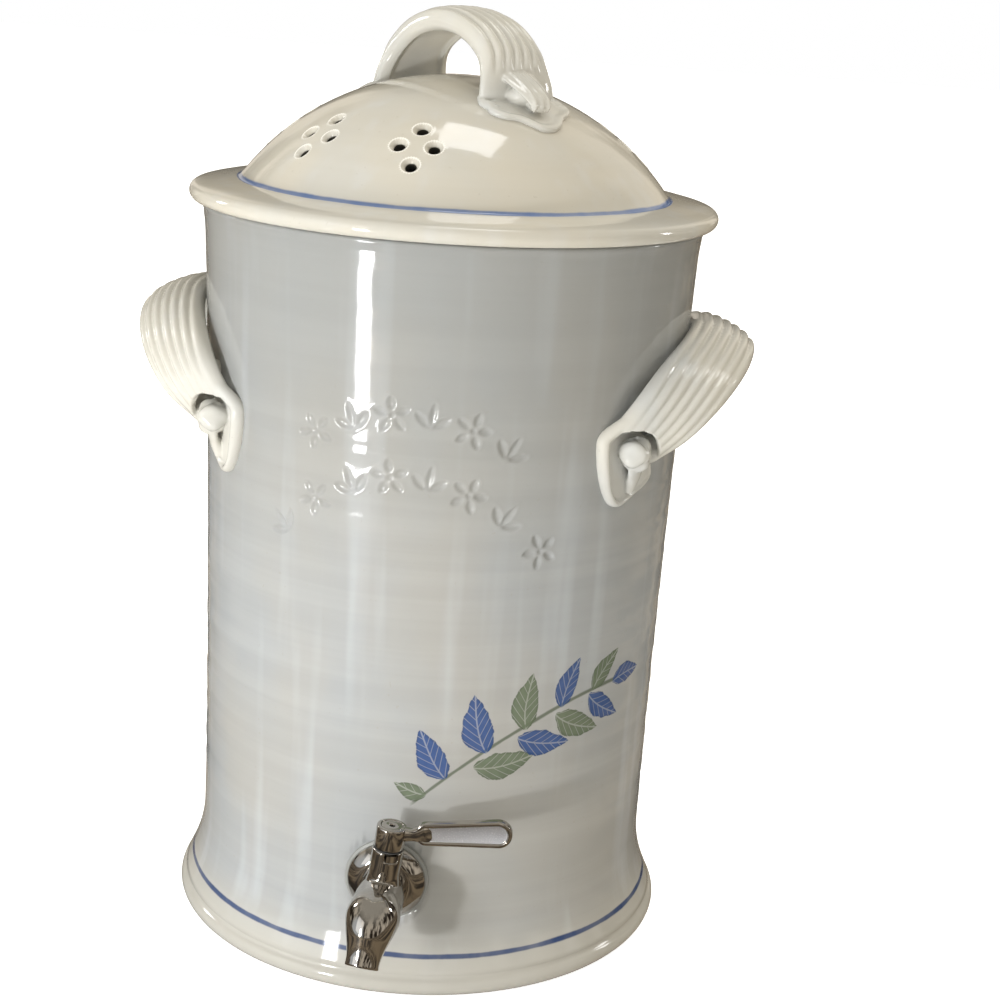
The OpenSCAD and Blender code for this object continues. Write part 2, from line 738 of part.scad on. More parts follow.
module lever() {
    color(steel) column_frame() translate([0, 0, hub_z]) difference() {
        union() {
            cylinder(d = hub_d, h = hub_h);
            translate([0, 0, hub_h * 0.6]) rotate([0, -lever_rise, 0]) lever_arm();
        }
        translate([-drive_flats / 2 - slip, -drive_flats / 2 - slip, -past])
            cube([drive_flats + 2 * slip, drive_flats + 2 * slip, drive_h + past]);
        cylinder(d = screw_d + 2 * slip, h = hub_h + past);
        translate([0, 0, hub_h - screw_head_t]) cylinder(d = screw_head_d + 2 * slip, h = 2 * hub_h);
    }
}

module lever_screw() {
    color(steel) column_frame() translate([0, 0, hub_z]) difference() {
        union() {
            translate([0, 0, hub_h - screw_head_t]) cylinder(d = screw_head_d, h = screw_head_t - slip);
            translate([0, 0, -thrust_t]) cylinder(d = screw_d, h = hub_h - screw_head_t + thrust_t);
        }
        translate([0, 0, hub_h - screw_head_t]) cylinder(d = socket_d, h = 2 * screw_head_t);
    }
}

crock_body();
left_handle();
right_handle();
left_handle_ends();
right_handle_ends();
left_handle_curls();
right_handle_curls();
lid();
lid_handle();
lid_handle_ends();
lid_handle_curls();
tap_shank();
tap_body();
spout();
outer_seal();
inner_seal();
backing_washer();
lock_nut();
valve_plug();
plug_o_rings();
thrust_washer();
stop_key();
lever();
lever_screw();
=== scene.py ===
"""Looks of a stoneware kombucha crock round its CAD frame: wall, vented lid, pulled straps and steel tap"""

import math

import bmesh
import bpy
import numpy as np
from bpy.props import FloatProperty, FloatVectorProperty, IntProperty, PointerProperty
from mathutils import Matrix
from mathutils.geometry import delaunay_2d_cdt


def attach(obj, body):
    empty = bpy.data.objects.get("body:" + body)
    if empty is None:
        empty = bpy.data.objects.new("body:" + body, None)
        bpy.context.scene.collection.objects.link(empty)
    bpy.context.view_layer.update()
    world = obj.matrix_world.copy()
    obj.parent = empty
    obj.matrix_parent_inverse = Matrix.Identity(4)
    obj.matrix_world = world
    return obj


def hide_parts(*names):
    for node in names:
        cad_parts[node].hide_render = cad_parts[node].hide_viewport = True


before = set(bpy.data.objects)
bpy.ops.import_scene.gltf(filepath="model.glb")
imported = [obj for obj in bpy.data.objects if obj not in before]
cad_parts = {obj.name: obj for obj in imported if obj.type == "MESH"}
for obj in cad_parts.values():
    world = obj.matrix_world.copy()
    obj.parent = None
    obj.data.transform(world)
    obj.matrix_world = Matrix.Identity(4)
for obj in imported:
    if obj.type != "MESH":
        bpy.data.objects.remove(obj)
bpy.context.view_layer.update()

bl_info = {
    "name": "Kombucha crock",
    "version": (1, 0, 0),
    "blender": (4, 5, 0),
    "location": "View3D > Sidebar > Crock",
    "description": "Builds the glazed crock, its lid, straps and tap, and the stage they stand on",
    "category": "Object",
}

MM = 0.001
WALL_RADIUS = 111.6  # at which places round the wall are unrolled, in millimetres
PAINT_RADIUS = 109.6  # the same for the painted sprig
STRAP_STEPS = 130  # between the rings of points along a strap
RIB_POINTS = 10  # across each of its ribs

WINDOWS = (
    # name, place, aim, width and height, the stage's value for its power, and whether it is mirrored
    ("Strip window", (-0.352, -0.652, 0.155), (0.0, -0.112, 0.29), (0.075, 0.20), "strip", True),
    ("Ceiling window", (0.045, 0.25, 1.548), (0.013, -0.071, 0.383), (0.40, 0.34), "ceiling", True),
    ("Soft window", (-1.5, -1.6, 0.9), (0, 0, 0.2), (1.4, 1.2), "key", True),
    ("Far window", (-0.56, -1.19, 0.10), (0, -0.11, 0.08), (0.07, 0.07), "low", False),
    ("Side window", (-1.23, 0.36, 0.62), (-0.13, 0, 0.28), (0.12, 0.26), "glint", True),
    ("Side window", (1.23, 0.36, 0.62), (0.13, 0, 0.28), (0.12, 0.26), "glint", True),
    ("Rear window", (0.65, 0.51, 1.41), (0.03, -0.03, 0.42), (0.13, 0.26), "rear", False),
)


def length(label, about, value):
    return FloatProperty(name=label, description=about, default=value, unit="LENGTH")


def colour(label, about, value):
    return FloatVectorProperty(name=label, description=about, default=value, subtype="COLOR", min=0, max=1)


def angle(label, about, degrees):
    return FloatProperty(name=label, description=about, default=math.radians(degrees), unit="ROTATION")


def number(label, about, value):
    return FloatProperty(name=label, description=about, default=value)


class CrockLooks(bpy.types.PropertyGroup):
    """Sizes and colours of the thrown crock"""

    height: length("Height", "Base to the top of the rim", 0.344)
    foot_radius: length("Foot radius", "Outside radius of the spreading foot", 0.1205)
    foot_edge: length("Foot edge", "Radius of the foot's rounded edge", 0.0045)
    foot_flare: length("Foot flare", "Height where the foot has run into the wall", 0.046)
    wall_low: length("Wall radius, low", "Outside radius at the bottom of the wall", 0.1095)
    wall_top: length("Wall radius, high", "Outside radius at the top of the wall", 0.115)
    rim_radius: length("Rim radius", "Outside radius of the rim", 0.117)
    rim_flare: length("Rim flare", "Height of the flare under the rim", 0.018)
    wall: length("Wall", "Thickness of the wall", 0.007)
    floor: length("Floor", "Thickness of the floor", 0.009)
    fillet: length("Fillet", "Radius between floor and wall inside", 0.012)
    ring_depth: length("Throwing rings", "Depth of the rings left by throwing", 0.00006)
    stamp_depth: length("Stamp depth", "Depth of the impressed ornament", 0.0009)
    line_height: length("Line height", "Height of the blue line above the base", 0.0184)
    line_width: length("Line width", "Half width of the blue line", 0.0012)
    cool: colour("Cool glaze", "Glaze where it lies thick", (0.322, 0.334, 0.337))
    warm: colour("Warm glaze", "Glaze where it lies thin", (0.340, 0.336, 0.316))
    blue: colour("Blue", "Painted blue", (0.018, 0.045, 0.135))
    foot_tone: colour("Foot tone", "Glaze run thin over the foot", (0.455, 0.438, 0.390))
    # painted shade: the upper wall is darkened towards the rim to stand in for the weaker light that falls
    # there
    high_tone: colour("High tone", "Glaze lying thick under the rim", (0.245, 0.248, 0.236))
    green: colour("Grey-green", "Painted grey-green", (0.075, 0.095, 0.060))


class LidLooks(bpy.types.PropertyGroup):
    """Sizes and colours of the vented lid"""

    radius: length("Radius", "Radius over the flange", 0.1228)
    dome_radius: length("Dome radius", "Plan radius where the dome meets the flange", 0.1)
    dome_rise: length("Dome rise", "Rise of the dome above the flange", 0.051)
    flange_rise: length("Flange rise", "Height of the flange's top above the rim", 0.011)
    flange_edge: length("Flange edge", "Radius of the flange's rounded edge", 0.0038)
    thickness: length("Thickness", "Thickness of the dome", 0.0065)
    collar: length("Collar", "Depth of the collar inside the rim", 0.01)
    collar_radius: length("Collar radius", "Outside radius of the collar", 0.1065)
    turn: angle("Turn", "Turn of the lid's handle about the crock's axis", -45)
    vent: length("Vent radius", "Radius of a vent hole", 0.0025)
    vent_edge: length("Vent edge", "Width of the cut edge round a vent hole", 0.0017)
    vent_ring: length("Vent ring", "Plan radius of the vent groups", 0.077)
    vent_long: length("Group height", "Half height of a group's diamond along the dome", 0.011)
    vent_wide: length("Group width", "Half width of a group's diamond", 0.0078)
    vent_step: angle("Group step", "Angle between neighbouring vent groups", 39)
    line_radius: length("Line radius", "Plan radius of the blue line round the dome", 0.1002)
    line_width: length("Line width", "Half width of the blue line", 0.0012)
    cool: colour("Cool glaze", "Glaze where it lies thick", (0.510, 0.495, 0.445))
    warm: colour("Warm glaze", "Glaze where it lies thin", (0.545, 0.510, 0.430))
    blue: colour("Blue", "Painted blue of the line", (0.10, 0.17, 0.36))


class StrapLooks(bpy.types.PropertyGroup):
    """Sizes and colours of the pulled strap handles"""

    width: length("Width", "Width of a strap", 0.033)
    thickness: length("Thickness", "Thickness of a strap without its ribs", 0.0105)
    ribs: IntProperty(name="Ribs", description="Number of ribs along a strap", default=7)
    rib_height: length("Rib height", "Height of a rib", 0.0019)
    span: length("Span", "Distance between the middles of a side strap's ends", 0.136)
    middle: length("Height", "Height of the middle of a side strap's ends", 0.255)
    rise: length("Rise", "Length of the arch along its leaning plane", 0.052)
    lean: angle("Lean", "Lean of the arch away from the wall", 44)
    tilt: angle("Tilt", "Downward tilt across the crest", 23)
    hood: length("Hood", "Length by which the middle of an end stands back", 0.01)
    lip: length("Hood lip", "Thickness of the clay over the hollow under a hood", 0.003)
    lid_span: length("Lid span", "Distance between the legs of the lid's strap", 0.081)
    lid_height: length("Lid strap height", "Height of the lid's strap above the dome", 0.03)
    lid_end_width: length("Lid strap end", "Width of the lid's strap at its ends", 0.041)
    voxel: length("Clay grain", "Size to which joined clay is blended", 0.0005)
    cool: colour("Cool glaze", "Glaze where it pools", (0.455, 0.470, 0.468))
    warm: colour("Warm glaze", "Glaze on the ribs", (0.580, 0.560, 0.500))


class TapLooks(bpy.types.PropertyGroup):
    """Sizes and colours of the lever tap"""

    height: length("Height", "Height of the shank above the base", 0.053)
    face: length("Face", "Distance of the outer seal's seat from the crock's axis", 0.107715)
    turn: angle("Turn", "Lean of the tap round its shank", 6.5)
    column_reach: length("Column reach", "Distance of the column's axis from the seat", 0.0195)
    column_radius: length("Column radius", "Radius of the column", 0.0071)
    column_height: length("Column height", "Top of the column above the shank", 0.025)
    notch_turn: angle("Notch turn", "Place of the stop key's notch round the column", -65)
    notch_width: length("Notch width", "Width of the stop key's notch", 0.0064)
    notch_height: length("Notch height", "Height of the stop key's notch", 0.0042)
    notch_depth: length("Notch depth", "Depth of the stop key's notch", 0.003)
    barrel_radius: length("Barrel radius", "Radius of the barrel", 0.011)
    barrel_front: length("Barrel front", "Distance of the barrel's front from the seat", 0.029)
    spout_bend: length("Spout bend", "Radius of the spout's bend", 0.015)
    spout_end: length("Spout end", "Straight length at the spout's end", 0.013)
    spout_turn: angle("Spout turn", "Angle through which the spout bends", 62)
    spout_wide: length("Spout wide", "Largest radius of the spout", 0.0121)
    spout_tip: length("Spout tip", "Radius of the spout's tip", 0.0076)
    lip: length("Lip", "Thickness of the spout's lip", 0.0016)
    hub_radius: length("Hub radius", "Radius of the lever's hub", 0.0068)
    hub_height: length("Hub height", "Height of the lever's hub", 0.0105)
    reach: length("Lever reach", "Reach of the lever from the column's axis", 0.054)
    rise: angle("Lever rise", "Rise of the lever towards its tip", 13)
    blade: length("Blade", "Thickness of the lever's blade", 0.0046)
    voxel: length("Casting grain", "Size to which the cast pieces are blended", 0.00036)
    steel: colour("Steel", "Polished steel", (0.50, 0.475, 0.44))
    blasted: colour("Blasted steel", "Blasted panel of the lever", (0.64, 0.65, 0.68))
    silicone: colour("Silicone", "Outer and inner seals", (0.27, 0.275, 0.26))


class StageLooks(bpy.types.PropertyGroup):
    """Floor, light and camera"""

    floor: colour("Floor", "Pale floor and backdrop", (0.92, 0.92, 0.92))
    ground: colour("Ground", "Brown ground that the steel mirrors", (0.24, 0.19, 0.13))
    room: colour("Room", "Dull side of the room", (0.45, 0.36, 0.23))
    shade: colour("Shade", "Dark things in the room that the steel mirrors", (0.030, 0.022, 0.015))
    glow: colour("Glow", "Pale things in the room that the steel mirrors", (0.72, 0.65, 0.55))
    day: colour("Day", "Bright side of the room", (0.66, 0.70, 0.74))
    ceiling_tone: colour("Ceiling", "Warm light from above", (1.0, 0.95, 0.84))
    strip: number("Strip light", "Power of the upright window", 1.8)
    ceiling: number("Ceiling light", "Power of the window over the lid", 2.2)
    key: number("Key light", "Power of the soft window at the left", 4.0)
    low: number("Low light", "Power of the far window that throws the tap's shadow", 7.0)
    glint: number("Glints", "Power of the small windows beside the handles", 1.5)
    rear: number("Rear light", "Power of the window behind the lid's handle", 4.5)
    fill: number("Fill", "Strength of the room's light", 1.0)
    eye: FloatVectorProperty(name="Eye", description="Place of the camera", subtype="TRANSLATION",
                             default=(0.115014, -0.885562, 0.4555))
    look: FloatVectorProperty(name="Look", description="Turn of the camera", subtype="EULER",
                              default=tuple(math.radians(a) for a in (74.25838, -3.55734, 6.48256)))
    lens: number("Lens", "Focal length in millimetres", 68.4)


def sizes(group):
    """The group's lengths in millimetres and its other values as they are"""
    found = {}
    for key in group.__annotations__:
        prop = group.bl_rna.properties[key]
        value = getattr(group, key)
        found[key] = value / MM if prop.type == "FLOAT" and prop.unit == "LENGTH" else value
    return found


# Meshes

def grid_faces(rows, columns):
    """Quads between closed rings of points, row after row"""
    i, j = np.meshgrid(np.arange(rows - 1), np.arange(columns), indexing="ij")
    a, b = i * columns + j, i * columns + (j + 1) % columns
    return np.stack([a, b, b + columns, a + columns], -1).reshape(-1, 4).tolist()


def cap(ring, first, flip):
    """One polygon over a ring of points"""
    face = list(range(first, first + ring))
    return [face[::-1] if flip else face]


def capped(rings):
    """Points and faces of a skin over rings of points; the two end faces come last"""
    rings = np.asarray(rings, float)
    rows, ring = rings.shape[:2]
    faces = grid_faces(rows, ring) + cap(ring, 0, True) + cap(ring, (rows - 1) * ring, False)
    return rings.reshape(-1, 3), faces


def joined(parts):
    """Several lists of points and faces as one"""
    points, faces = [], []
    for p, f in parts:
        base = sum(len(q) for q in points)
        points.append(np.asarray(p, float))
        faces += [[v + base for v in face] for face in f]
    return np.concatenate(points), faces


def moved(part, matrix):
    """Points and faces set elsewhere, turned round where the matrix mirrors"""
    points, faces = part
    m = np.array(matrix)
    turned = [face[::-1] for face in faces] if np.linalg.det(m[:3, :3]) < 0 else faces
    return np.asarray(points) @ m[:3, :3].T + m[:3, 3], turned


def to_object(name, points, faces):
    """A new object from points in millimetres"""
    mesh = bpy.data.meshes.new(name)
    mesh.from_pydata((np.asarray(points) * MM).tolist(), [], faces)
    mesh.validate()
    obj = bpy.data.objects.new(name, mesh)
    bpy.context.scene.collection.objects.link(obj)
    return obj


def outward(obj):
    """Faces outward, shaded smooth"""
    bm = bmesh.new()
    bm.from_mesh(obj.data)
    bmesh.ops.recalc_face_normals(bm, faces=bm.faces)
    bm.to_mesh(obj.data)
    bm.free()
    obj.data.polygons.foreach_set("use_smooth", [True] * len(obj.data.polygons))
    obj.data.update()
    return obj


def bake(obj):
    """The object with its modifiers made into a plain mesh"""
    bpy.context.view_layer.update()
    evaluated = obj.evaluated_get(bpy.context.evaluated_depsgraph_get())
    mesh = bpy.data.meshes.new_from_object(evaluated)
    obj.modifiers.clear()
    old, obj.data = obj.data, mesh
    mesh.name = obj.name
    bpy.data.meshes.remove(old)
    return obj


def fused(name, parts, voxel, rounds):
    """Overlapping pieces blended to one skin, as wet clay or a casting is"""
    obj = to_object(name, *joined(parts))
    remesh = obj.modifiers.new("Blend", "REMESH")
    remesh.mode = "VOXEL"
    remesh.voxel_size = voxel * MM
    smooth = obj.modifiers.new("Soften", "SMOOTH")
    smooth.factor = 0.5
    smooth.iterations = rounds
    return outward(bake(obj))


def settle(obj, material, body, nodes):
    """Material, body and replaced nodes of a finished piece"""
    if material is not None:
        obj.data.materials.clear()
        obj.data.materials.append(material)
    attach(obj, body)
    if nodes:
        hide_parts(*nodes)
    return obj


def ramp(t):
    """Smooth rise from 0 to 1"""
    t = np.clip(t, 0, 1)
    return t * t * (3 - 2 * t)


def spline(points, steps):
    """Smooth line through points"""
    p = np.asarray(points, float)
    q = np.concatenate([p[:1], p, p[-1:]])
    line = []
    for i in range(len(p) - 1):
        a, b, c, d = q[i:i + 4]
        for t in np.arange(steps) / steps:
            line.append((2 * b + (c - a) * t + (2 * a - 5 * b + 4 * c - d) * t * t
                         + (3 * b - a - 3 * c + d) * t ** 3) / 2)
    line.append(p[-1])
    return np.array(line)


def unit(v):
    return v / np.linalg.norm(v, axis=-1, keepdims=True)


def arc(middle, r, start, end, steps):
    """Points along a circle between two angles in degrees"""
    a = np.radians(np.linspace(start, end, steps + 1))
    return np.stack([middle[0] + r * np.cos(a), middle[1] + r * np.sin(a)], -1)


def turns(count):
    """Angles spread evenly round a circle"""
    return [2 * math.pi * k / count for k in range(count)]


# Node trees

class Value:
    """A node's output, to be used in sums"""

    def __init__(self, net, socket):
        self.net, self.socket = net, socket

    def __add__(self, other):
        return self.net.math("ADD", self, other)

    def __sub__(self, other):
        return self.net.math("SUBTRACT", self, other)

    def __rsub__(self, other):
        return self.net.math("SUBTRACT", other, self)

    def __mul__(self, other):
        return self.net.math("MULTIPLY", self, other)

    def __truediv__(self, other):
        return self.net.math("DIVIDE", self, other)

    def __abs__(self):
        return self.net.math("ABSOLUTE", self)


class Net:
    """Adds nodes to a tree, and links or sets their inputs"""

    def __init__(self, tree):
        self.tree = tree

    def put(self, node, values):
        for key, value in values.items():
            socket = node.inputs[key]
            if isinstance(value, Value):
                self.tree.links.new(value.socket, socket)
            elif socket.type == "RGBA":
                socket.default_value = (*value, 1.0)
            else:
                socket.default_value = value

    def node(self, kind, values=None, **settings):
        node = self.tree.nodes.new(kind)
        for key, value in settings.items():
            setattr(node, key, value)
        self.put(node, values or {})
        return node

    def out(self, kind, values=None, key=0, **settings):
        return Value(self, self.node(kind, values, **settings).outputs[key])

    def outs(self, kind, values=None, **settings):
        return {s.name: Value(self, s) for s in self.node(kind, values, **settings).outputs}

    def group(self, name, maker, values):
        return self.outs("ShaderNodeGroup", values, node_tree=tree_of(name, maker))

    def math(self, operation, *values, clamp=False):
        return self.out("ShaderNodeMath", dict(enumerate(values)), operation=operation, use_clamp=clamp)

    def stretched(self, vector, by):
        return self.out("ShaderNodeVectorMath", {0: vector, 1: by}, operation="MULTIPLY")

    def parts(self, vector):
        return self.outs("ShaderNodeSeparateXYZ", {0: vector}).values()

    def noise(self, vector, scale, detail):
        return self.out("ShaderNodeTexNoise", {"Vector": vector, "Scale": scale, "Detail": detail})

    def step(self, value, low, high):
        """Smooth rise between two values"""
        return self.out("ShaderNodeMapRange", {"Value": value, "From Min": low, "From Max": high}, "Result",
                        interpolation_type="SMOOTHSTEP")

    def between(self, value, low, high):
        """Straight rise from low to high as the value goes from 0 to 1"""
        return self.out("ShaderNodeMapRange", {"Value": value, "To Min": low, "To Max": high}, "Result")

    def mix(self, factor, a, b, blend="MIX"):
        return self.out("ShaderNodeMix", {0: factor, 6: a, 7: b}, 2, data_type="RGBA", blend_type=blend)


def new_tree(name, kind, inputs, outputs):
    """An empty node group: its net, its inputs by name and its end"""
    tree = bpy.data.node_groups.new(name, kind)
    for in_out, sockets in (("INPUT", inputs), ("OUTPUT", outputs)):
        for label, socket in sockets.items():
            tree.interface.new_socket(label, in_out=in_out, socket_type="NodeSocket" + socket)
    net = Net(tree)
    return net, net.outs("NodeGroupInput"), net.node("NodeGroupOutput")


def tree_of(name, maker):
    return bpy.data.node_groups.get(name) or maker(name)


# Geometry nodes

def geometry_tree(name, inputs):
    return new_tree(name, "GeometryNodeTree", {"Geometry": "Geometry", **inputs, "Material": "Material"},
                    {"Geometry": "Geometry"})


def close_tree(net, given, end, geometry):
    """The finished tree, with real geometry in its material"""
    real = net.out("GeometryNodeRealizeInstances", {"Geometry": geometry})
    net.put(end, {0: net.out("GeometryNodeSetMaterial", {"Geometry": real, "Material": given["Material"]})})
    return net.tree


def grown(obj, tree, **values):
    """The object's mesh as the tree makes it"""
    modifier = obj.modifiers.new(tree.name, "NODES")
    modifier.node_group = tree
    for item in tree.interface.items_tree:
        if item.in_out == "INPUT" and item.name in values:
            modifier[item.identifier] = values[item.name]
    return bake(obj)


def turned_tree(name):
    """A profile of radius and height, turned about its axis"""
    net, given, end = geometry_tree(name, {"Sides": "Int"})
    profile, sides = given["Geometry"], given["Sides"]
    count = net.out("GeometryNodeAttributeDomainSize", {"Geometry": profile}, "Point Count")
    grid = net.out("GeometryNodeMeshGrid", {"Vertices X": sides + 1.0, "Vertices Y": count}, "Mesh")
    index = net.out("GeometryNodeInputIndex")
    column = net.math("FLOOR", (index + 0.5) / count)
    sample = net.out("GeometryNodeSampleIndex", {
        "Geometry": profile, "Value": net.out("GeometryNodeInputPosition"), "Index": index - column * count},
        data_type="FLOAT_VECTOR", clamp=True)
    r, _, z = net.parts(sample)
    turn = column / sides * (2 * math.pi)
    x, y = r * net.math("COSINE", turn), r * net.math("SINE", turn)
    spot = net.out("ShaderNodeCombineXYZ", {"X": x, "Y": y, "Z": z})
    shaped = net.out("GeometryNodeSetPosition", {"Geometry": grid, "Position": spot})
    merged = net.out("GeometryNodeMergeByDistance", {"Geometry": shaped, "Distance": 1e-6})
    return close_tree(net, given, end, merged)


def rib_tree(name):
    """Ribs pulled along a strap, raised along its stored lift"""
    net, given, end = geometry_tree(name, {"Ribs": "Int", "Height": "Float"})

    def stored(label, kind="FLOAT"):
        return net.out("GeometryNodeInputNamedAttribute", {"Name": label}, "Attribute", data_type=kind)

    wave = net.math("SINE", (stored("across") * 0.5 + 0.5) * given["Ribs"] * math.pi)
    height = net.math("POWER", abs(wave), 0.8) * given["Height"] * stored("fade")
    lift = stored("lift", "FLOAT_VECTOR")
    offset = net.out("ShaderNodeVectorMath", {0: lift, "Scale": height}, operation="SCALE")
    shaped = net.out("GeometryNodeSetPosition", {"Geometry": given["Geometry"], "Offset": offset})
    return close_tree(net, given, end, shaped)


def thread_tree(name):
    """A screw thread wound along an axis"""
    net, given, end = geometry_tree(name, dict.fromkeys(("Radius", "Height", "Turns", "Ridge"), "Float"))
    spiral = net.out("GeometryNodeCurveSpiral", {
        "Resolution": 40, "Rotations": given["Turns"], "Start Radius": given["Radius"],
        "End Radius": given["Radius"], "Height": given["Height"]})
    ridge = net.out("GeometryNodeCurvePrimitiveCircle", {"Resolution": 6, "Radius": given["Ridge"]})
    wound = net.out("GeometryNodeCurveToMesh", {"Curve": spiral, "Profile Curve": ridge, "Fill Caps": True})
    return close_tree(net, given, end, wound)


def turned(name, profile, matrix, sides, material):
    """A turned piece, set in its place"""
    obj = to_object(name, [(r, 0, z) for r, z in profile], [])
    obj = grown(obj, tree_of("Turned form", turned_tree), Sides=sides, Material=material)
    scaled = Matrix(matrix)
    scaled.translation *= MM
    obj.data.transform(scaled)
    return outward(obj)


# Shader groups

def shader_group(name, inputs, outputs):
    return new_tree(name, "ShaderNodeTree", inputs, outputs)


def glaze_group(name):
    """Mottled glaze over thrown clay: tone, gloss and the fine waviness of its skin"""
    net, given, end = shader_group(
        name, {"Vector": "Vector", "Cool": "Color", "Warm": "Color", "Bias": "Float", "Streaks": "Float"},
        {"Color": "Color", "Roughness": "Float", "Height": "Float"})

    def noise(scale, stretch, detail):
        return net.noise(net.stretched(given["Vector"], stretch), scale, detail)

    even = (1, 1, 1)
    mottle = net.step(noise(13.0, (1, 1, 0.6), 3.0) + given["Bias"], 0.36, 0.66)
    tone = net.mix(mottle, given["Cool"], given["Warm"])
    streak = net.step(noise(1.0, (75, 75, 5), 2.0), 0.5, 0.75)
    tone = net.mix(streak * given["Streaks"], tone, (0.60, 0.65, 0.72))
    ring = net.step(noise(1.0, (3, 3, 120), 3.0), 0.35, 0.7)
    tone = net.mix(ring * 0.05, tone, (0.80, 0.80, 0.78))
    speck = net.step(noise(620.0, even, 0.0), 0.81, 0.85)
    tone = net.mix(speck * 0.14, tone, (0.28, 0.23, 0.17))
    net.put(end, {"Color": tone, "Roughness": net.between(noise(40.0, even, 3.0), 0.045, 0.10),
                  "Height": noise(95.0, (1, 1, 1.6), 1.0) * 0.6 + ring * 0.4})
    return net.tree


def band_group(name):
    """A brushed line: full where the distance is nil, uneven along its run"""
    inputs = {"Vector": "Vector", "Distance": "Float", "Width": "Float"}
    net, given, end = shader_group(name, inputs, {"Mask": "Float"})
    sway = net.noise(given["Vector"], 24.0, 2.0)
    dry = net.noise(given["Vector"], 55.0, 4.0)
    off = given["Distance"] + (sway * 1.2 - 0.6)
    width = given["Width"] * (dry * 0.9 + 0.55)
    line = 1.0 - net.step(abs(off) / width, 0.55, 1.15)
    body = net.math("MULTIPLY_ADD", dry, 0.7, 0.5, clamp=True)
    net.put(end, {"Mask": line * body})
    return net.tree


def leaf_group(name):
    """One brushed leaf on the unrolled wall: its stroke and the place along it"""
    inputs = ("Run", "Rise", "Grain", "Root Run", "Root Rise", "Angle", "Length", "Width", "Bend")
    net, given, end = shader_group(name, dict.fromkeys(inputs, "Float"), {"Mask": "Float", "Tone": "Float"})
    grain, long = given["Grain"], given["Length"]
    dx, dz = given["Run"] - given["Root Run"], given["Rise"] - given["Root Rise"]
    c, s = net.math("COSINE", given["Angle"]), net.math("SINE", given["Angle"])
    x = dx * c + dz * s
    along = net.math("DIVIDE", x, long, clamp=True)
    hump = net.math("SINE", net.math("POWER", along, 0.75) * math.pi)
    y = dz * c - dx * s - given["Bend"] * hump
    inside = given["Width"] * (hump + (grain * 0.5 - 0.25)) - abs(y)
    ends = net.step(x, 0.0, 0.6) * net.step(long - x, 0.0, 0.6)
    vein = net.step(abs(y + 0.3), 0.15, 0.5)
    ribs = abs(net.math("SINE", (x - abs(y) * 1.3) * (math.pi / 4.4)))
    clear = vein * net.step(ribs, 0.05, 0.3)
    rim = net.step(inside, 1.4, 0.2)
    net.put(end, {"Mask": net.step(inside, -0.15, 0.35) * ends * (clear * 0.55 + 0.45),
                  "Tone": (grain * 0.55 + 0.30 + rim * 0.3) * (vein * 0.55 + 0.45)})
    return net.tree


def steel_group(name):
    """Polished steel with faint wiping marks"""
    net, given, end = shader_group(name, {"Vector": "Vector", "Tint": "Color"},
                                   {"Color": "Color", "Roughness": "Float", "Height": "Float"})
    wipe = net.noise(given["Vector"], 190.0, 4.0)
    net.put(end, {"Color": net.mix(wipe * 0.35, given["Tint"], (0.72, 0.70, 0.68), "MULTIPLY"),
                  "Roughness": net.between(wipe, 0.035, 0.11),
                  "Height": net.noise(given["Vector"], 120.0, 1.0)})
    return net.tree


# Materials

def material(name):
    """A new material with its net, its principled shader and object coordinates"""
    made = bpy.data.materials.new(name)
    made.use_nodes = True
    made.node_tree.nodes.clear()
    net = Net(made.node_tree)
    shader = net.node("ShaderNodeBsdfPrincipled")
    out = net.node("ShaderNodeOutputMaterial", {"Surface": Value(net, shader.outputs[0])})
    out.is_active_output = True
    return made, net, shader, net.out("ShaderNodeTexCoord", key="Object")


def bump(net, height, distance, strength):
    return net.out("ShaderNodeBump", {"Height": height, "Distance": distance, "Strength": strength})


def glaze_material(name, cool, warm, bias, streaks, paint=None):
    """Glossy glaze, with what paint(net, place, colour) lays under it"""
    if name in bpy.data.materials:
        return bpy.data.materials[name]
    made, net, shader, place = material(name)
    glaze = net.group("Glazed clay", glaze_group, {"Vector": place, "Cool": cool, "Warm": warm, "Bias": bias,
                                                   "Streaks": streaks})
    tone = paint(net, place, glaze["Color"]) if paint else glaze["Color"]
    net.put(shader, {"Base Color": tone, "Roughness": glaze["Roughness"], "IOR": 1.52,
                     "Normal": bump(net, glaze["Height"], 0.0002, 0.35)})
    return made


def steel_material(tap):
    """Polished steel of the tap"""
    if "Polished steel" in bpy.data.materials:
        return bpy.data.materials["Polished steel"]
    made, net, shader, place = material("Polished steel")
    steel = net.group("Wiped steel", steel_group, {"Vector": place, "Tint": tap.steel})
    net.put(shader, {"Base Color": steel["Color"], "Roughness": steel["Roughness"], "Metallic": 1.0,
                     "Normal": bump(net, steel["Height"], 0.0003, 0.12)})
    return made


def blasted_material(tap):
    """Sparkling blasted steel of the lever's panel"""
    made, net, shader, place = material("Blasted steel")
    grain = net.noise(place, 2600.0, 2.0)
    spark = net.step(grain, 0.58, 0.70)
    net.put(shader, {"Base Color": net.mix(spark, tap.blasted, (0.95, 0.95, 0.97)), "Metallic": 1.0,
                     "Roughness": spark * -0.25 + 0.55, "Normal": bump(net, grain, 0.0004, 0.8)})
    return made


def plain_material(name, tone, rough):
    """A dull material with slight unevenness"""
    if name in bpy.data.materials:
        return bpy.data.materials[name]
    made, net, shader, place = material(name)
    blotch = net.noise(place, 120.0, 3.0)
    dark = tuple(c * 0.85 for c in tone)
    net.put(shader, {"Base Color": net.mix(blotch, dark, tone), "Roughness": blotch * 0.2 + rough})
    return made


# Crock

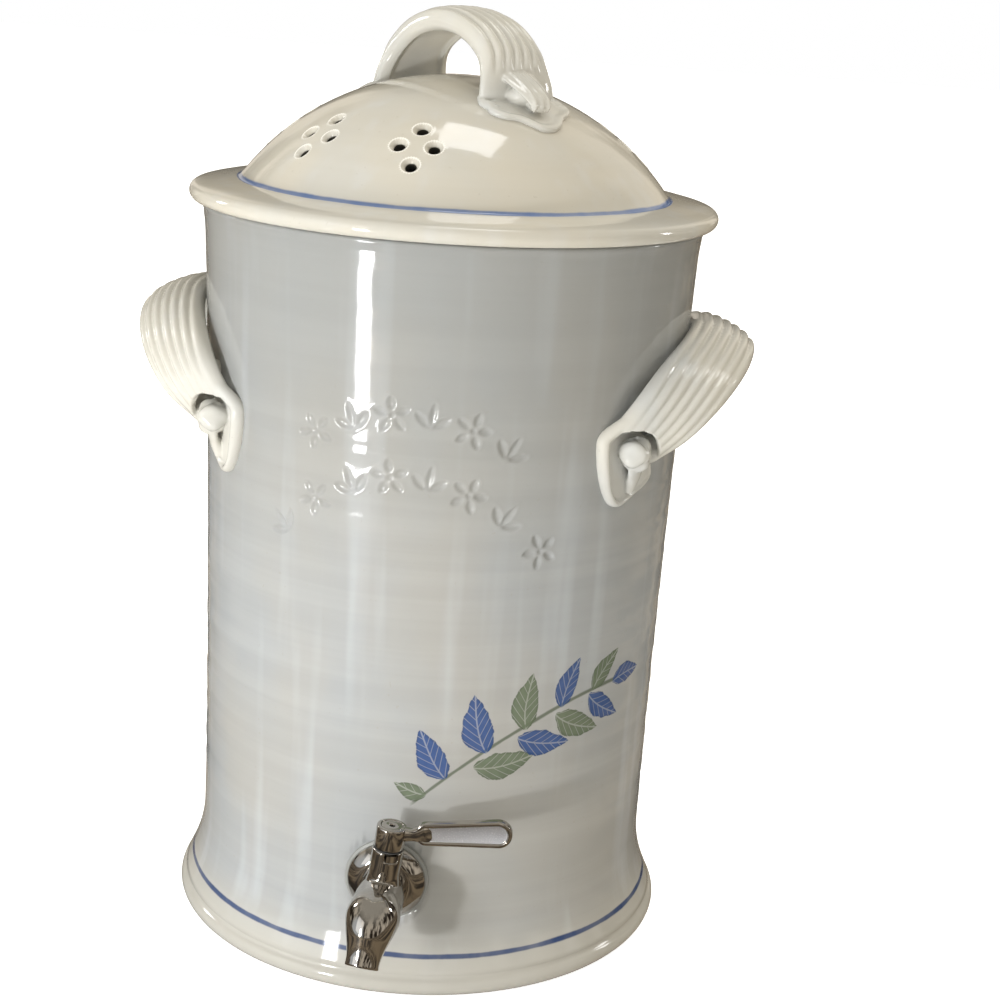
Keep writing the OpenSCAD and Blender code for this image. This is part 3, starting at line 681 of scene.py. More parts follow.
def wall_radius(z, c):
    """Outside radius of the crock at a height"""
    low, top, rim = c["wall_low"], c["wall_top"], c["rim_radius"]
    shelf = c["foot_radius"] - 2.4
    rim_start = c["height"] - c["rim_flare"]
    flare = np.clip((c["foot_flare"] - z) / (c["foot_flare"] - foot_groove(c)), 0, None)
    up = np.clip((z - c["foot_flare"]) / (rim_start - c["foot_flare"]), 0, 1)
    end = np.clip((z - rim_start) / c["rim_flare"], 0, 1)
    return low + (shelf - low) * flare ** 2 + (top - low) * up ** 1.6 + (rim - top) * end ** 2


def foot_groove(c):
    """Height of the groove over the foot's rounded edge"""
    return 2 * c["foot_edge"] + 1.5


def petal(x, y, half, wide):
    """How far a point lies inside a pointed leaf along x"""
    return wide * (1 - (x / half) ** 2) - np.abs(y)


def stamped(run, rise, depth):
    """Depth of two arched rows of impressed rosettes and leaf pairs"""
    sunk = np.zeros_like(run)
    edge = np.zeros_like(run)
    grow, off_middle = 1.18, 1.5
    # crest of the row, its curve, its marks, their step, and the kind of mark that it starts with
    rows = [(270.5, 0.0070, 6, 17.2, 0), (243.0, 0.0087, 8, 17.0, 1)]

    def turned_by(x, y, a):
        return x * math.cos(a) + y * math.sin(a), y * math.cos(a) - x * math.sin(a)

    for top, curve, count, step, odd in rows:
        for i in range(count):
            s = (i - (count - 1) / 2) * step + off_middle
            x, y = turned_by(run - s, rise - (top - curve * s * s), -math.atan(2 * curve * s))
            x, y = x / grow, y / grow
            inside = np.full_like(run, -9.0)
            if (i + odd) % 2 == 0:
                for k in range(5):
                    px, py = turned_by(x, y, math.radians(90 + 72 * k))
                    inside = np.maximum(inside, petal(px - 4.4, py, 2.9, 1.55))
                inside = np.maximum(inside, 1.15 - np.hypot(x, y))
            else:
                for a in (40, 140):
                    px, py = turned_by(x, y + 4, math.radians(a))
                    inside = np.maximum(inside, petal(px - 4.6, py, 4.2, 1.6))
                inside = np.maximum(inside, petal(y - 1.2, x, 5.2, 1.3))
            sunk = np.maximum(sunk, ramp((inside + 0.1) / 1.0))
            edge = np.maximum(edge, np.clip(1 - np.abs(inside + 0.6) / 0.9, 0, 1))
    return depth * (0.16 * edge * (1 - sunk) - sunk)


def thrown_wall(c):
    """Points and faces of the crock: base, foot, wall, rim, inside and floor"""
    profile, outside = crock_profile(c)
    # columns and rows lie close where the ornament is impressed
    azimuth = np.radians(np.concatenate([np.arange(-40, 40, 0.44), np.linspace(40, 320, 132)[:-1]]))
    high, every = c["height"], np.ones((len(profile), len(azimuth)))
    r, z, a = profile[:, :1] * every, profile[:, 1:] * every, azimuth * every
    outer = np.zeros((len(profile), 1))
    outer[outside] = 1
    fade = ramp((z - 40) / 40) * ramp((high - 10 - z) / 30)
    ring = np.sin(z * 2 * math.pi / 15.7 + a + 0.6) + 0.7 * np.sin(z * 2 * math.pi / 9.3 - a + 2.1)
    ring += 0.9 * np.sin(z * 2 * math.pi / 31 + 2 * a) + 0.5 * np.sin(z * 2 * math.pi / 6.1 + a)
    wobble = 0.22 * np.sin(2 * a + 0.7) * ramp(z / high) + 0.12 * np.sin(3 * a + 1.9)
    r += outer * (c["ring_depth"] * ring * fade * (1.6 - ramp((z - 110) / 130)) + wobble * fade)
    r += outer * stamped(a * WALL_RADIUS, z, c["stamp_depth"])
    return capped(np.stack([r * np.sin(a), -r * np.cos(a), z], -1))


def crock_profile(c):
    """Radius and height from the base's middle round to the floor's, and which of them are the outer wall"""
    high, edge, foot_r = c["height"], c["foot_edge"], c["foot_radius"]
    groove, rim, t = foot_groove(c), c["rim_radius"], c["wall"]
    base = [(0.2, 0.6), (60, 0.6), (foot_r - edge - 9, 0.6), (foot_r - edge - 7.6, 0.0)]
    foot = arc((foot_r - edge, edge), edge, -86, 62, 12).tolist()
    foot += [(foot_r - 2.75, groove - 1.0), (foot_r - 2.9, groove - 0.4)]
    rises = np.concatenate([np.arange(groove + 0.1, 44, 1.9), np.arange(44, 194, 3.0),
                            np.arange(194, 284, 0.78), np.arange(284, high - 4, 3.0)])
    wall = [(float(wall_radius(z, c)), z) for z in rises]
    lip = [(rim - 0.9, high - 3.4), (rim - 0.25, high - 2.2), (rim, high - 1.3), (rim - 0.2, high - 0.5),
           (rim - 1.0, high), (rim - t + 1.8, high), (rim - t + 0.4, high - 0.7)]
    falls = np.linspace(high - 3, c["floor"] + c["fillet"] + 24, 22)
    inner = [(float(wall_radius(z, c)) - t, z) for z in falls]
    fillet = arc((c["wall_low"] - t - c["fillet"], c["floor"] + c["fillet"]), c["fillet"], 0, -90, 7).tolist()
    inside = fillet + [(40, c["floor"]), (0.2, c["floor"])]
    first = len(base) + len(foot)
    return np.array(base + foot + wall + lip + inner + inside), slice(first, first + len(wall))


def seat_flat(points, tap):
    """The wall ground flat where the tap's outer seal lies"""
    seat = 21.2
    near = (np.hypot(points[:, 0], points[:, 2] - tap["height"]) < seat) & (points[:, 1] < -tap["face"])
    points[near, 1] = -tap["face"]


LEAVES = [
    # root run, root rise, angle, length, width, bend, blue
    (24, 104, 118, 27, 5.2, 1.5, 1), (36, 110, 8, 30, 5.0, -2.0, 0), (42, 116, 104, 30, 5.6, 2.0, 1),
    (56, 123, -12, 29, 4.8, -1.6, 1), (60, 126, 86, 28, 5.2, 2.0, 0), (75, 132, -24, 30, 5.0, -2.2, 0),
    (78, 134, 70, 25, 4.6, 1.6, 1), (94, 138, -34, 27, 4.4, -1.8, 1), (96, 139, 46, 24, 4.2, 1.5, 0),
    (110, 140, 4, 24, 4.0, 1.2, 1), (16, 96, 160, 16, 3.2, 1.0, 0),
]


def crock_paint(c):
    """Blue line round the foot, a paler foot, painted shade darkening the upper wall towards the rim, and a
    brushed sprig on the wall
    """
    def paint(net, place, tone):
        x, y, z = net.parts(place)
        rise = z * 1000.0
        tone = net.mix(net.step(rise, 34.0, 8.0) * 0.85, tone, c["foot_tone"])
        # painted shade: darker towards the rim, in place of the weaker light on the upper wall
        tone = net.mix(net.step(rise, 150.0, 344.0) * 0.6, tone, c["high_tone"])
        line = net.group("Brushed line", band_group, {"Vector": place, "Distance": rise - c["line_height"],
                                                      "Width": c["line_width"]})
        tone = net.mix(line["Mask"], tone, c["blue"])
        run = net.math("ARCTAN2", x, y * -1.0) * PAINT_RADIUS
        grain = net.noise(place, 210.0, 5.0)
        stem_mid = net.math("POWER", run - 112.0, 2.0) * -0.0047 + 141.0
        stem_ends = net.step(run, 8.0, 12.0) * net.step(run, 114.0, 110.0)
        stem = net.step(abs(rise - stem_mid), grain + 0.9, 0.4) * stem_ends
        tone = net.mix(stem * 0.8, tone, c["green"])
        for s, h, lean, long, wide, bend, blue in LEAVES:
            leaf = net.group("Brushed leaf", leaf_group, {
                "Run": run, "Rise": rise, "Grain": grain, "Root Run": s, "Root Rise": h,
                "Angle": math.radians(lean), "Length": long, "Width": wide * 1.3, "Bend": bend})
            ink = c["blue"] if blue else c["green"]
            wash = tuple(v * 2.1 + 0.02 for v in ink)
            tone = net.mix(leaf["Mask"] * 0.94, tone, net.mix(leaf["Tone"], wash, ink))
        return tone
    return paint


# Lid

def dome_sphere(lid, crock):
    """Radius of the dome's outside, and the height of its middle"""
    rise = lid["dome_rise"]
    out_r = (lid["dome_radius"] ** 2 + rise ** 2) / (2 * rise)
    return out_r, crock["height"] + lid["flange_rise"] + rise - out_r


def lid_vents(c, out_r):
    """Directions of the vent holes from the dome's middle"""
    tilt = math.asin(c["vent_ring"] / out_r)
    up, wide = c["vent_long"] / out_r, c["vent_wide"] / c["vent_ring"]
    found = []
    for side in (math.pi / 2, 3 * math.pi / 2):
        for group in (-1, 0, 1):
            for turn, lift in ((0, up), (0, -up), (wide, 0), (-wide, 0)):
                a, b = side + group * c["vent_step"] + turn, tilt + lift
                found.append((math.sin(b) * math.cos(a), math.sin(b) * math.sin(a), math.cos(b)))
    return np.array(found)


def dome_places(c, out_r, vents, edge, sides):
    """Places on the dome from above: x, y, depth sunk, vent whose bore it starts or -1, 1 if bare"""
    found = [(edge * math.cos(a), edge * math.sin(a), 0, -1, 0) for a in turns(sides)]
    around, grain, clear = 24, 2.4, 7.4
    # share of the cut edge's width, and depth, from the dome's skin into the bore
    steps = ((2.1, 0), (1.6, -0.03), (1.3, -0.14), (1.1, -0.22), (0.97, -0.12), (0.85, 0.12), (0.62, 0.5),
             (0.38, 0.95), (0.16, 1.4), (0.04, 1.8), (0, 2.2))
    for h, n in enumerate(vents):
        side = unit(np.cross(n, (0, 0, 1.0)))
        other = np.cross(n, side)
        for k, (share, sunk) in enumerate(steps):
            wide = (c["vent"] + c["vent_edge"] * share) / out_r
            owner = h if k == len(steps) - 1 else -1
            for i in range(around):
                a = 2 * math.pi * (i + 0.5 * (k % 2) * (k < 4)) / around
                q = n * math.cos(wide) + (side * math.cos(a) + other * math.sin(a)) * math.sin(wide)
                found.append((out_r * q[0], out_r * q[1], sunk, owner, int(k in (3, 4))))
    flat = vents[:, :2] * out_r
    r = edge - 2.2
    while r > 0.5:
        count = max(6, int(2 * math.pi * r / 2.7))
        for i in range(count):
            a = 2 * math.pi * (i + 0.37 * count) / count
            p = np.array((r * math.cos(a), r * math.sin(a)))
            lift = math.sqrt(1 - (p @ p) / out_r ** 2)
            away = np.sqrt(((flat - p) ** 2).sum(1) + (out_r * (vents[:, 2] - lift)) ** 2)
            if away.min() > clear:
                found.append((*p, 0, -1, 0))
        r -= grain
    return np.array(found)


def lid_profile(c, crock, edge, start_z, in_r, middle):
    """Radius and height from the dome's edge over the flange and the collar to the dome's inside"""
    top, er = crock["height"], c["flange_edge"]
    face, collar, low = top + c["flange_rise"], c["collar_radius"], top - c["collar"]
    inner_edge = edge * in_r / (in_r + c["thickness"])
    low_in = math.sqrt(in_r ** 2 - (top - middle) ** 2) - 0.5
    corner = ((0.9, 1.05), (1.7, 1.95), (2.4, 2.75), (3.1, 3.45), (3.8, 3.85), (4.6, 4.0), (6, 4.1))
    profile = [(edge + out, start_z - down) for out, down in corner]
    profile += [(edge + out, face - down) for out, down in ((9.8, 0.75), (14, 1.35), (18.5, 2.0))]
    profile += arc((c["radius"] - er, top + er + 0.5), er, 78, -82, 14).tolist()
    profile += [(c["radius"] - er - 3.2, top + 0.2), (crock["rim_radius"] - 2.5, top + 0.02)]
    profile += [(collar + 1.5, top), (collar + 0.3, top - 0.5), (collar, top - 1.6), (collar, low + 2),
                (collar - 0.7, low + 0.5), (collar - 2, low)]
    profile += [(low_in + 1.6, low), (low_in + 0.3, low + 0.8), (low_in, low + 2.4), (low_in, top)]
    inside = np.linspace(low_in - 0.6, inner_edge + 1.2, 4)
    return profile + [(r, middle + math.sqrt(in_r ** 2 - r ** 2)) for r in inside]


def lid_shell(c, crock):
    """Points and faces of the lid, with marks for the pale edges of its vents and for the painted shade in
    their bores
    """
    out_r, middle = dome_sphere(c, crock)
    in_r = out_r - c["thickness"]
    vents = lid_vents(c, out_r)
    edge, sides = c["dome_radius"] - 3, 240
    places = dome_places(c, out_r, vents, edge, sides)
    verts, _, tris, origin, _, _ = delaunay_2d_cdt([tuple(p) for p in places[:, :2]], [], [], 0, 1e-7, True)
    src = [o[0] for o in origin]
    verts = np.array([tuple(v) for v in verts])
    sunk, owner, bare = places[src, 2], places[src, 3], places[src, 4]
    tris = [t for t in tris if not (owner[list(t)] >= 0).all()]
    dirs = np.concatenate([verts, np.sqrt(out_r ** 2 - (verts ** 2).sum(1))[:, None]], 1) / out_r
    outer = dirs * (out_r - sunk)[:, None] + (0, 0, middle)
    inner = dirs * (in_r + np.where(owner >= 0, 0.8, np.where(sunk > 0.3, 0.25, 0)))[:, None] + (0, 0, middle)
    n = len(verts)
    points = [*outer, *inner]
    faces = [list(t) for t in tris] + [[v + n for v in reversed(t)] for t in tris]
    for h in range(len(vents)):
        bore = sorted(np.flatnonzero(owner == h).tolist(), key=lambda i: src[i])
        faces += [[a, b, b + n, a + n] for a, b in zip(bore, bore[1:] + bore[:1])]
    ring = sorted((i for i in range(n) if src[i] < sides), key=lambda i: src[i])
    start_z = middle + math.sqrt(out_r ** 2 - edge ** 2)
    loops = [ring]
    for r, z in lid_profile(c, crock, edge, start_z, in_r, middle):
        loops.append(list(range(len(points), len(points) + sides)))
        points += [(r * math.cos(a), r * math.sin(a), z) for a in turns(sides)]
    loops.append([i + n for i in ring])
    for one, two in zip(loops, loops[1:]):
        for k in range(sides):
            m = (k + 1) % sides
            faces.append([one[k], two[k], two[m], one[m]])
    # the first mark is the vents' pale cut edges; the second is painted shade that darkens each vent's bore,
    # inside and out, almost to black
    marks = {"pale": np.zeros(len(points), np.float32), "deep": np.zeros(len(points), np.float32)}
    marks["pale"][:n] = bare
    marks["deep"][:2 * n] = np.tile(owner >= 0, 2)
    return np.array(points), faces, marks


def lid_paint(c):
    """Blue line in the corner between dome and flange, the vents' pale edges, and painted shade that darkens
    their bores almost to black
    """
    def paint(net, place, tone):
        x, y, z = net.parts(place)
        flat = net.out("ShaderNodeCombineXYZ", {"X": x, "Y": y})
        plan = net.out("ShaderNodeVectorMath", {0: flat}, "Value", operation="LENGTH") * 1000.0
        line = net.group("Brushed line", band_group, {"Vector": place, "Distance": plan - c["line_radius"],
                                                      "Width": c["line_width"]})
        # pale cut edges round the vents, then painted shade darkening their bores almost to black
        for label, share, to in (("pale", 0.85, (0.92, 0.90, 0.84)), ("deep", 0.94, (0.02, 0.018, 0.012))):
            mark = net.out("ShaderNodeAttribute", key="Fac", attribute_name=label)
            tone = net.mix(mark * share, tone, to)
        return net.mix(line["Mask"] * net.step(z, 0.351, 0.353), tone, c["blue"])
    return paint


# Straps

def strap_rings(line, steps, section, hood):
    """A strap's points with their place across, their lift and their fade, ring after ring"""
    points, across, lift, fade = [], [], [], []
    for i in range(steps + 1):
        for u, upper, rib in section:
            start = hood * (1 - u * u)
            p, n, keep = line(start + (math.pi - 2 * start) * i / steps, u, upper)
            points.append(p)
            across.append(u)
            lift.append(n)
            fade.append(rib * keep)
    return np.array(points), np.array(across), np.array(lift), np.array(fade)


def strap_section(ribs, per_rib, under):
    """Places across a strap, first over its ribbed top and then back under it"""
    n = ribs * per_rib
    top = [(-1 + 2 * i / n, True, 1.0 if 0 < i < n else 0.0) for i in range(n + 1)]
    low = [(1 - 2 * i / (under + 1), False, 0.0) for i in range(1, under + 1)]
    return top + low


def crown(u, power):
    return math.sqrt(max(0.0, 1 - abs(u) ** power))


def ribbed(name, rings, ring, st):
    """The strap's closed mesh with its ribs grown"""
    points, across, lift, fade = rings
    obj = to_object(name, *capped(points.reshape(-1, ring, 3)))
    layers = (("across", "FLOAT", "value", across), ("fade", "FLOAT", "value", fade),
              ("lift", "FLOAT_VECTOR", "vector", lift))
    for label, kind, key, values in layers:
        layer = obj.data.attributes.new(label, kind, "POINT")
        layer.data.foreach_set(key, np.asarray(values, np.float32).ravel())
    obj = grown(obj, tree_of("Pulled ribs", rib_tree), Ribs=st["ribs"], Height=st["rib_height"] * MM)
    mesh = obj.data
    flat = np.zeros(len(mesh.vertices) * 3)
    mesh.vertices.foreach_get("co", flat)
    made = (flat.reshape(-1, 3) / MM, [list(p.vertices) for p in mesh.polygons])
    bpy.data.objects.remove(obj)
    bpy.data.meshes.remove(mesh)
    return made


def tube(line, radii, facing):
    """A rounded rope of clay along a line, its second radius towards facing(point)"""
    line = np.asarray(line, float)
    run = unit(np.gradient(line, axis=0))
    rings = []
    for p, t, r in zip(line, run, radii):
        side = unit(np.cross(t, unit(np.array(facing(p)))))
        out = np.cross(side, t)
        rings.append([p + r[0] * math.cos(a) * side + r[1] * math.sin(a) * out for a in turns(18)])
    return capped(rings)


def lump(radii, axes, middle, grooves=(), depth=0.0):
    """A rounded lump of clay, creased across its first axis and dented all over by a share of its radii"""
    rings = []
    for t in np.radians(np.linspace(-89, 89, 41)):
        ring = []
        for a in np.linspace(0, 2 * math.pi, 56, endpoint=False):
            n = np.array((math.cos(t) * math.cos(a), math.cos(t) * math.sin(a), math.sin(t)))
            bent = n[0] + 0.3 * n[2] * n[2] + 0.1 * n[1]
            dent = sum(math.exp(-((bent - g) / 0.15) ** 2) for g in grooves)
            dent += 1.3 * math.sin(3.6 * n[2] + 1.3) * math.sin(3.2 * n[0] + 2.4 * n[1])
            ring.append(middle + ((n * radii) * (1 - depth * dent)) @ axes)
        rings.append(ring)
    return capped(rings)


def on_wall(az, z, out, c):
    """A point at a distance out from the wall"""
    r = float(wall_radius(np.array(z), c)) + out
    return np.array((r * math.sin(az), -r * math.cos(az), z))


def wall_patch(outline, az, z, low, high, c):
    """A layer of clay on the wall inside an outline of tangent and height"""
    outline = np.asarray(outline, float)
    heart = outline.mean(0)
    layers = ((0.05, high), (0.4, high), (0.75, high), (0.95, high * 0.8), (1.0, high * 0.4), (1.0, low),
              (0.05, low))
    rings = []
    for share, out in layers:
        places = heart + (outline - heart) * share
        rings.append([on_wall(az + p[0] / WALL_RADIUS, z + p[1], out, c) for p in places])
    return capped(rings)


def side_frame(st, c):
    """The side strap's middle line: place, way across and way up by its angle, and the azimuth of its end"""
    sagitta = 20
    reach = float(wall_radius(np.array(st["middle"]), c)) - sagitta
    lean, rise, half = st["lean"], st["rise"], st["span"] / 2
    crest = np.array((math.cos(st["tilt"]), 0, -math.sin(st["tilt"])))

    def frame_at(a):
        out, up = rise * math.sin(lean), rise * math.cos(lean)
        p = np.array((reach + out * math.sin(a), -half * math.cos(a), st["middle"] + up * math.sin(a)))
        run = unit(np.array((out * math.cos(a), half * math.sin(a), up * math.cos(a))))
        end_w = np.array((0.60, 0.69 * np.sign(math.cos(a)), -0.44))
        w = end_w + (crest - end_w) * math.sin(a)
        w = unit(w - (w @ run) * run)
        return p, w, np.cross(w, run)

    return frame_at, math.atan2(reach, half)


def drawn_in(p, by):
    """A point moved towards the crock's axis"""
    r = math.hypot(p[0], p[1])
    return p * ((r - by) / r, (r - by) / r, 1)


def side_end(st, c, frame_at, end_az):
    """The clay at one end of a side strap: rim, dish, curl, tongue, web and root"""
    def spot(run, z, out):
        return on_wall(end_az + run / WALL_RADIUS, z, out, c)

    def outside(p):
        return p[0], p[1], 0

    edge = 0.78 * st["width"] / 2

    def edge_at(a):
        p, w, n = frame_at(a)
        return p - edge * w + (2.6 - 5.6 * a) * n

    # place along the wall, height, and distance out
    bank = [(-15.4, 260.5, 1.6), (-16.6, 255.5, 1.2), (-15.8, 249.5, 1.0), (-14.7, 244.3, 0.9),
            (-13.2, 239, 0.8), (-11, 234, 0.7), (-7.8, 230, 0.6), (-4, 228.4, 0.5), (0.5, 229, 0.4),
            (5, 230.5, 0.4), (10, 232, 0.3), (16, 234.2, 0.3), (20.5, 237.4, 0.1), (19.6, 243.0, -0.1)]
    path = spline([edge_at(a) for a in (0.45, 0.3, 0.18)] + [spot(*q) for q in bank], 6)
    t = np.linspace(0, 1, len(path))
    wide = 1.0 + 1.8 * ramp(t / 0.16) - 0.8 * ramp((t - 0.3) / 0.25) - 0.9 * ramp((t - 0.55) / 0.25)
    tall = 1.0 + 2.8 * ramp(t / 0.22) - 0.6 * ramp((t - 0.35) / 0.2) - 2.1 * ramp((t - 0.52) / 0.3)
    rim = tube(path, list(zip(wide, tall)), outside)

    dish_z = 245
    floor = [(q[0], q[1] - dish_z) for q in bank[1:-1]] + [(16, 10), (4, 18), (-9, 18)]
    dish = wall_patch(floor, end_az, dish_z, -1.0, 1.0, c)

    out = unit(spot(-0.9, 252, 5) * (1, 1, 0))
    side = np.array((-out[1], out[0], 0))
    slant = unit(0.92 * side - 0.15 * np.array((0, 0, 1.0)) + 0.3 * out)
    third = unit(np.cross(out, slant))
    axes = np.array((slant, np.cross(third, slant), third))
    curl = lump((7.8, 6.4, 8.3), axes, spot(-0.9, 251.8, 6.6), (0.12, 0.42, 0.7), 0.12)
    hang = spline([(0.5, 249, 7), (1.6, 244.5, 5.2), (2.8, 240.5, 3.6), (3.0, 236.5, 2.2),
                   (2.2, 232.5, 1.0)], 6)
    tongue = tube([spot(*q) for q in hang], [(w, 2.2) for w in np.linspace(6.4, 2.2, len(hang))], outside)

    p, w, n = frame_at(0.36)
    web = lump((10.0, 6.0, 9.0), np.array((w, np.cross(n, w), n)), drawn_in(p, 5.5))
    p, w, n = frame_at(0.14)
    p = p + edge * w
    root = lump((4.6, 8.0, 7.5), np.array((w, np.cross(n, w), n)), drawn_in(p, 3.5))
    return rim, dish, curl, tongue, web, root


def side_strap(st, c):
    """The +X handle: its hooded strap, with the clay at both ends"""
    up, down = st["thickness"] * 0.68, st["thickness"] * 0.32
    frame_at, end_az = side_frame(st, c)

    def line(a, u, upper):
        p, w, n = frame_at(a)
        over = up * crown(u, 2.5)
        under = -down * crown(u, 5) * (1 - 0.3 * (1 - min(1, abs(u) / 0.75) ** 2))
        end = min(a, math.pi - a)
        hollow = (1 - float(ramp((end - 0.16) / 0.34))) * float(ramp((0.9 - abs(u)) / 0.35))
        under += hollow * max(0.0, over - st["lip"] - under)
        spot = p + st["width"] / 2 * u * w + (over if upper else under) * n
        r, least = math.hypot(spot[0], spot[1]), float(wall_radius(np.array(spot[2]), c)) - 0.6
        if r < least:
            spot[:2] *= least / r
        return spot, n, 0.25 + 0.75 * float(ramp((end - 0.12) / 0.35))

    section = strap_section(st["ribs"], RIB_POINTS, 33)
    rings = strap_rings(line, STRAP_STEPS, section, st["hood"] / st["rise"])
    parts = [ribbed("Side strap ribs", rings, len(section), st)]
    mirror = Matrix.Scale(-1, 4, (0, 1, 0))
    for part in side_end(st, c, frame_at, end_az):
        parts += [part, moved(part, mirror)]
    return parts


def lid_end(front, middle, over_dome):
    """The clay at one end of the lid's strap: pad, fold, core, bed, creases and skirts"""
    def away(p):
        return p[0], p[1], p[2] - middle

    pad_line = spline([(-3, -21), (4, -22.5), (9, -19), (12, -13), (16, -9), (19.5, -5), (20, 1), (17.5, 6.5),
                       (13, 11), (9, 17), (4, 22), (-3, 21)], 6)
    heart = np.array((2.0, 0.0))
    layers = ((0.04, 1.2), (0.55, 1.2), (0.76, 1.3), (0.88, 2.2), (0.95, 2.4), (0.99, 1.9), (1.0, 1.0),
              (1.0, -1.0), (0.04, -1.0))
    pad = capped([[over_dome(front + x, y, out) for x, y in heart + (pad_line - heart) * share]
                  for share, out in layers])

    # distance before the strap, height over the dome, half width
    fold = spline([(4.5, 3.0, 3.2), (8.6, 3.4, 3.8), (10.2, 5.0, 4.8), (8.4, 6.8, 6.4), (4.4, 7.8, 7.8),
                   (-0.6, 8.4, 8.8), (-5.0, 8.8, 9.2), (-9.5, 9.0, 9.2)], 6)
    off = -1.5
    folded = tube([over_dome(front + x, off, o) for x, o, _ in fold], [(w, 1.9) for _, _, w in fold], away)
    creased = fold[10:-2]
    size = [(1.3, 2.3)] * len(creased)
    creases = [tube([over_dome(front + x, y + off, o) for x, o, _ in creased], size, away)
               for y in (-3.6, 0.0, 3.4)]
    axes = np.array(((0, 1.0, 0), (1.0, 0, 0), (0, 0, 1.0)))
    core = lump((6.2, 2.9, 2.9), axes, over_dome(front + 5.2, 0.5, 6.4))
    bed = lump((8.6, 8.0, 5.0), axes, over_dome(front - 0.5, off, 3.4))
    hem = spline([(-9, 19.4), (-5, 20.4), (-1, 20.4), (3, 18)], 5)
    thick = [(1.0 + 1.5 * k, 0.7 + 1.2 * k) for k in ramp(np.linspace(0, 2, len(hem)))]
    skirts = [tube([over_dome(front + x, y * side, 0.4) for x, y in hem], thick, away) for side in (-1, 1)]
    return pad, folded, core, bed, *creases, *skirts


def lid_strap(st, lid, crock):
    """The lid's handle over +X and -X, with its pressed ends"""
    out_r, middle = dome_sphere(lid, crock)
    up, down = st["thickness"] * 0.48, st["thickness"] * 0.52
    half, rib, past = st["lid_span"] / 2, 1.2, 0.16
    leg = middle + math.sqrt(out_r ** 2 - half ** 2)
    apex = crock["height"] + lid["flange_rise"] + lid["dome_rise"]
    arch = apex + st["lid_height"] - up - rib - leg

    def over_dome(x, y, out):
        z = math.sqrt(out_r ** 2 - x * x - y * y)
        return unit(np.array((x, y, z))) * (out_r + out) + (0, 0, middle)

    def line(a, u, upper):
        b = -past + (math.pi + 2 * past) * a / math.pi
        p = np.array((half * math.cos(b), 0, leg + arch * math.sin(b)))
        run = unit(np.array((-half * math.sin(b), 0, arch * math.cos(b))))
        n = np.cross((0, 1, 0), run)
        w = st["lid_end_width"] + (st["width"] - st["lid_end_width"]) * float(ramp(max(0, math.sin(b)) / 0.7))
        high = p[2] - over_dome(p[0], 0, 0)[2]
        pressed = 1.5 * (1 - u * u) * float(ramp((high + 1) / 5) * ramp((16 - high) / 7))
        over = up * crown(u, 2.5) - pressed
        under = -down * crown(u, 5) * (1 - 0.48 * (1 - float(ramp((abs(u) - 0.64) / 0.12))))
        spot = p + np.array((0, w / 2 * u, 0)) + (over if upper else under) * n
        return spot, n, float(ramp((high - 7) / 8))

    section = strap_section(st["ribs"], RIB_POINTS, 47)
    parts = [ribbed("Lid strap ribs", strap_rings(line, STRAP_STEPS, section, 0.0), len(section), st)]
    turn = Matrix.Rotation(math.pi, 4, "Z")
    for part in lid_end(half + up + rib, middle, over_dome):
        parts += [part, moved(part, turn)]
    points, faces = joined(parts)
    low = middle + np.sqrt(np.clip((out_r - 0.8) ** 2 - points[:, 0] ** 2 - points[:, 1] ** 2, 0, None))
    points[:, 2] = np.maximum(points[:, 2], low)
    return [moved((points, faces), Matrix.Rotation(lid["turn"], 4, "Z"))]


# Tap

def tap_place(t):
    """From the tap's own axes, with its seat at the origin, to the crock's"""
    return Matrix.Translation((0, -t["face"], t["height"])) @ Matrix.Rotation(t["turn"], 4, "Y")


def rod(r, from_z, to_z, top_r=None):
    """A closed round bar along Z, straight or tapered"""
    end = top_r or r
    profile = [(0.01, from_z), (r * 0.5, from_z), (r, from_z)]
    profile += [(r + (end - r) * k, from_z + (to_z - from_z) * k) for k in np.linspace(0.1, 1, 10)]
    profile += [(end * 0.5, to_z), (0.01, to_z)]
    return capped([[(x * math.cos(a), x * math.sin(a), z) for a in turns(64)] for x, z in profile])


def column_bar(t):
    """The column, notched at its top for the stop key"""
    high, r = t["column_height"], t["column_radius"]
    low = high - t["notch_height"]
    turn = np.linspace(0, 2 * math.pi, 96, endpoint=False)
    away = turn - t["notch_turn"]
    notch = (np.abs(r * np.sin(away)) < t["notch_width"] / 2) & (np.cos(away) > 0)
    straight = (-2, 4, 9, 14, low - 2, low - 0.1, low + 0.1, low + 1.5, high - 0.5)
    rings = []
    for z, in_by in [(z, 0) for z in straight] + [(high - 0.1, 0.15), (high, 0.5)]:
        reach = np.where(notch & (z > low), r - t["notch_depth"], r - in_by)
        rings.append(np.stack([reach * np.cos(turn), reach * np.sin(turn), np.full(96, z)], -1))
    return capped(rings)


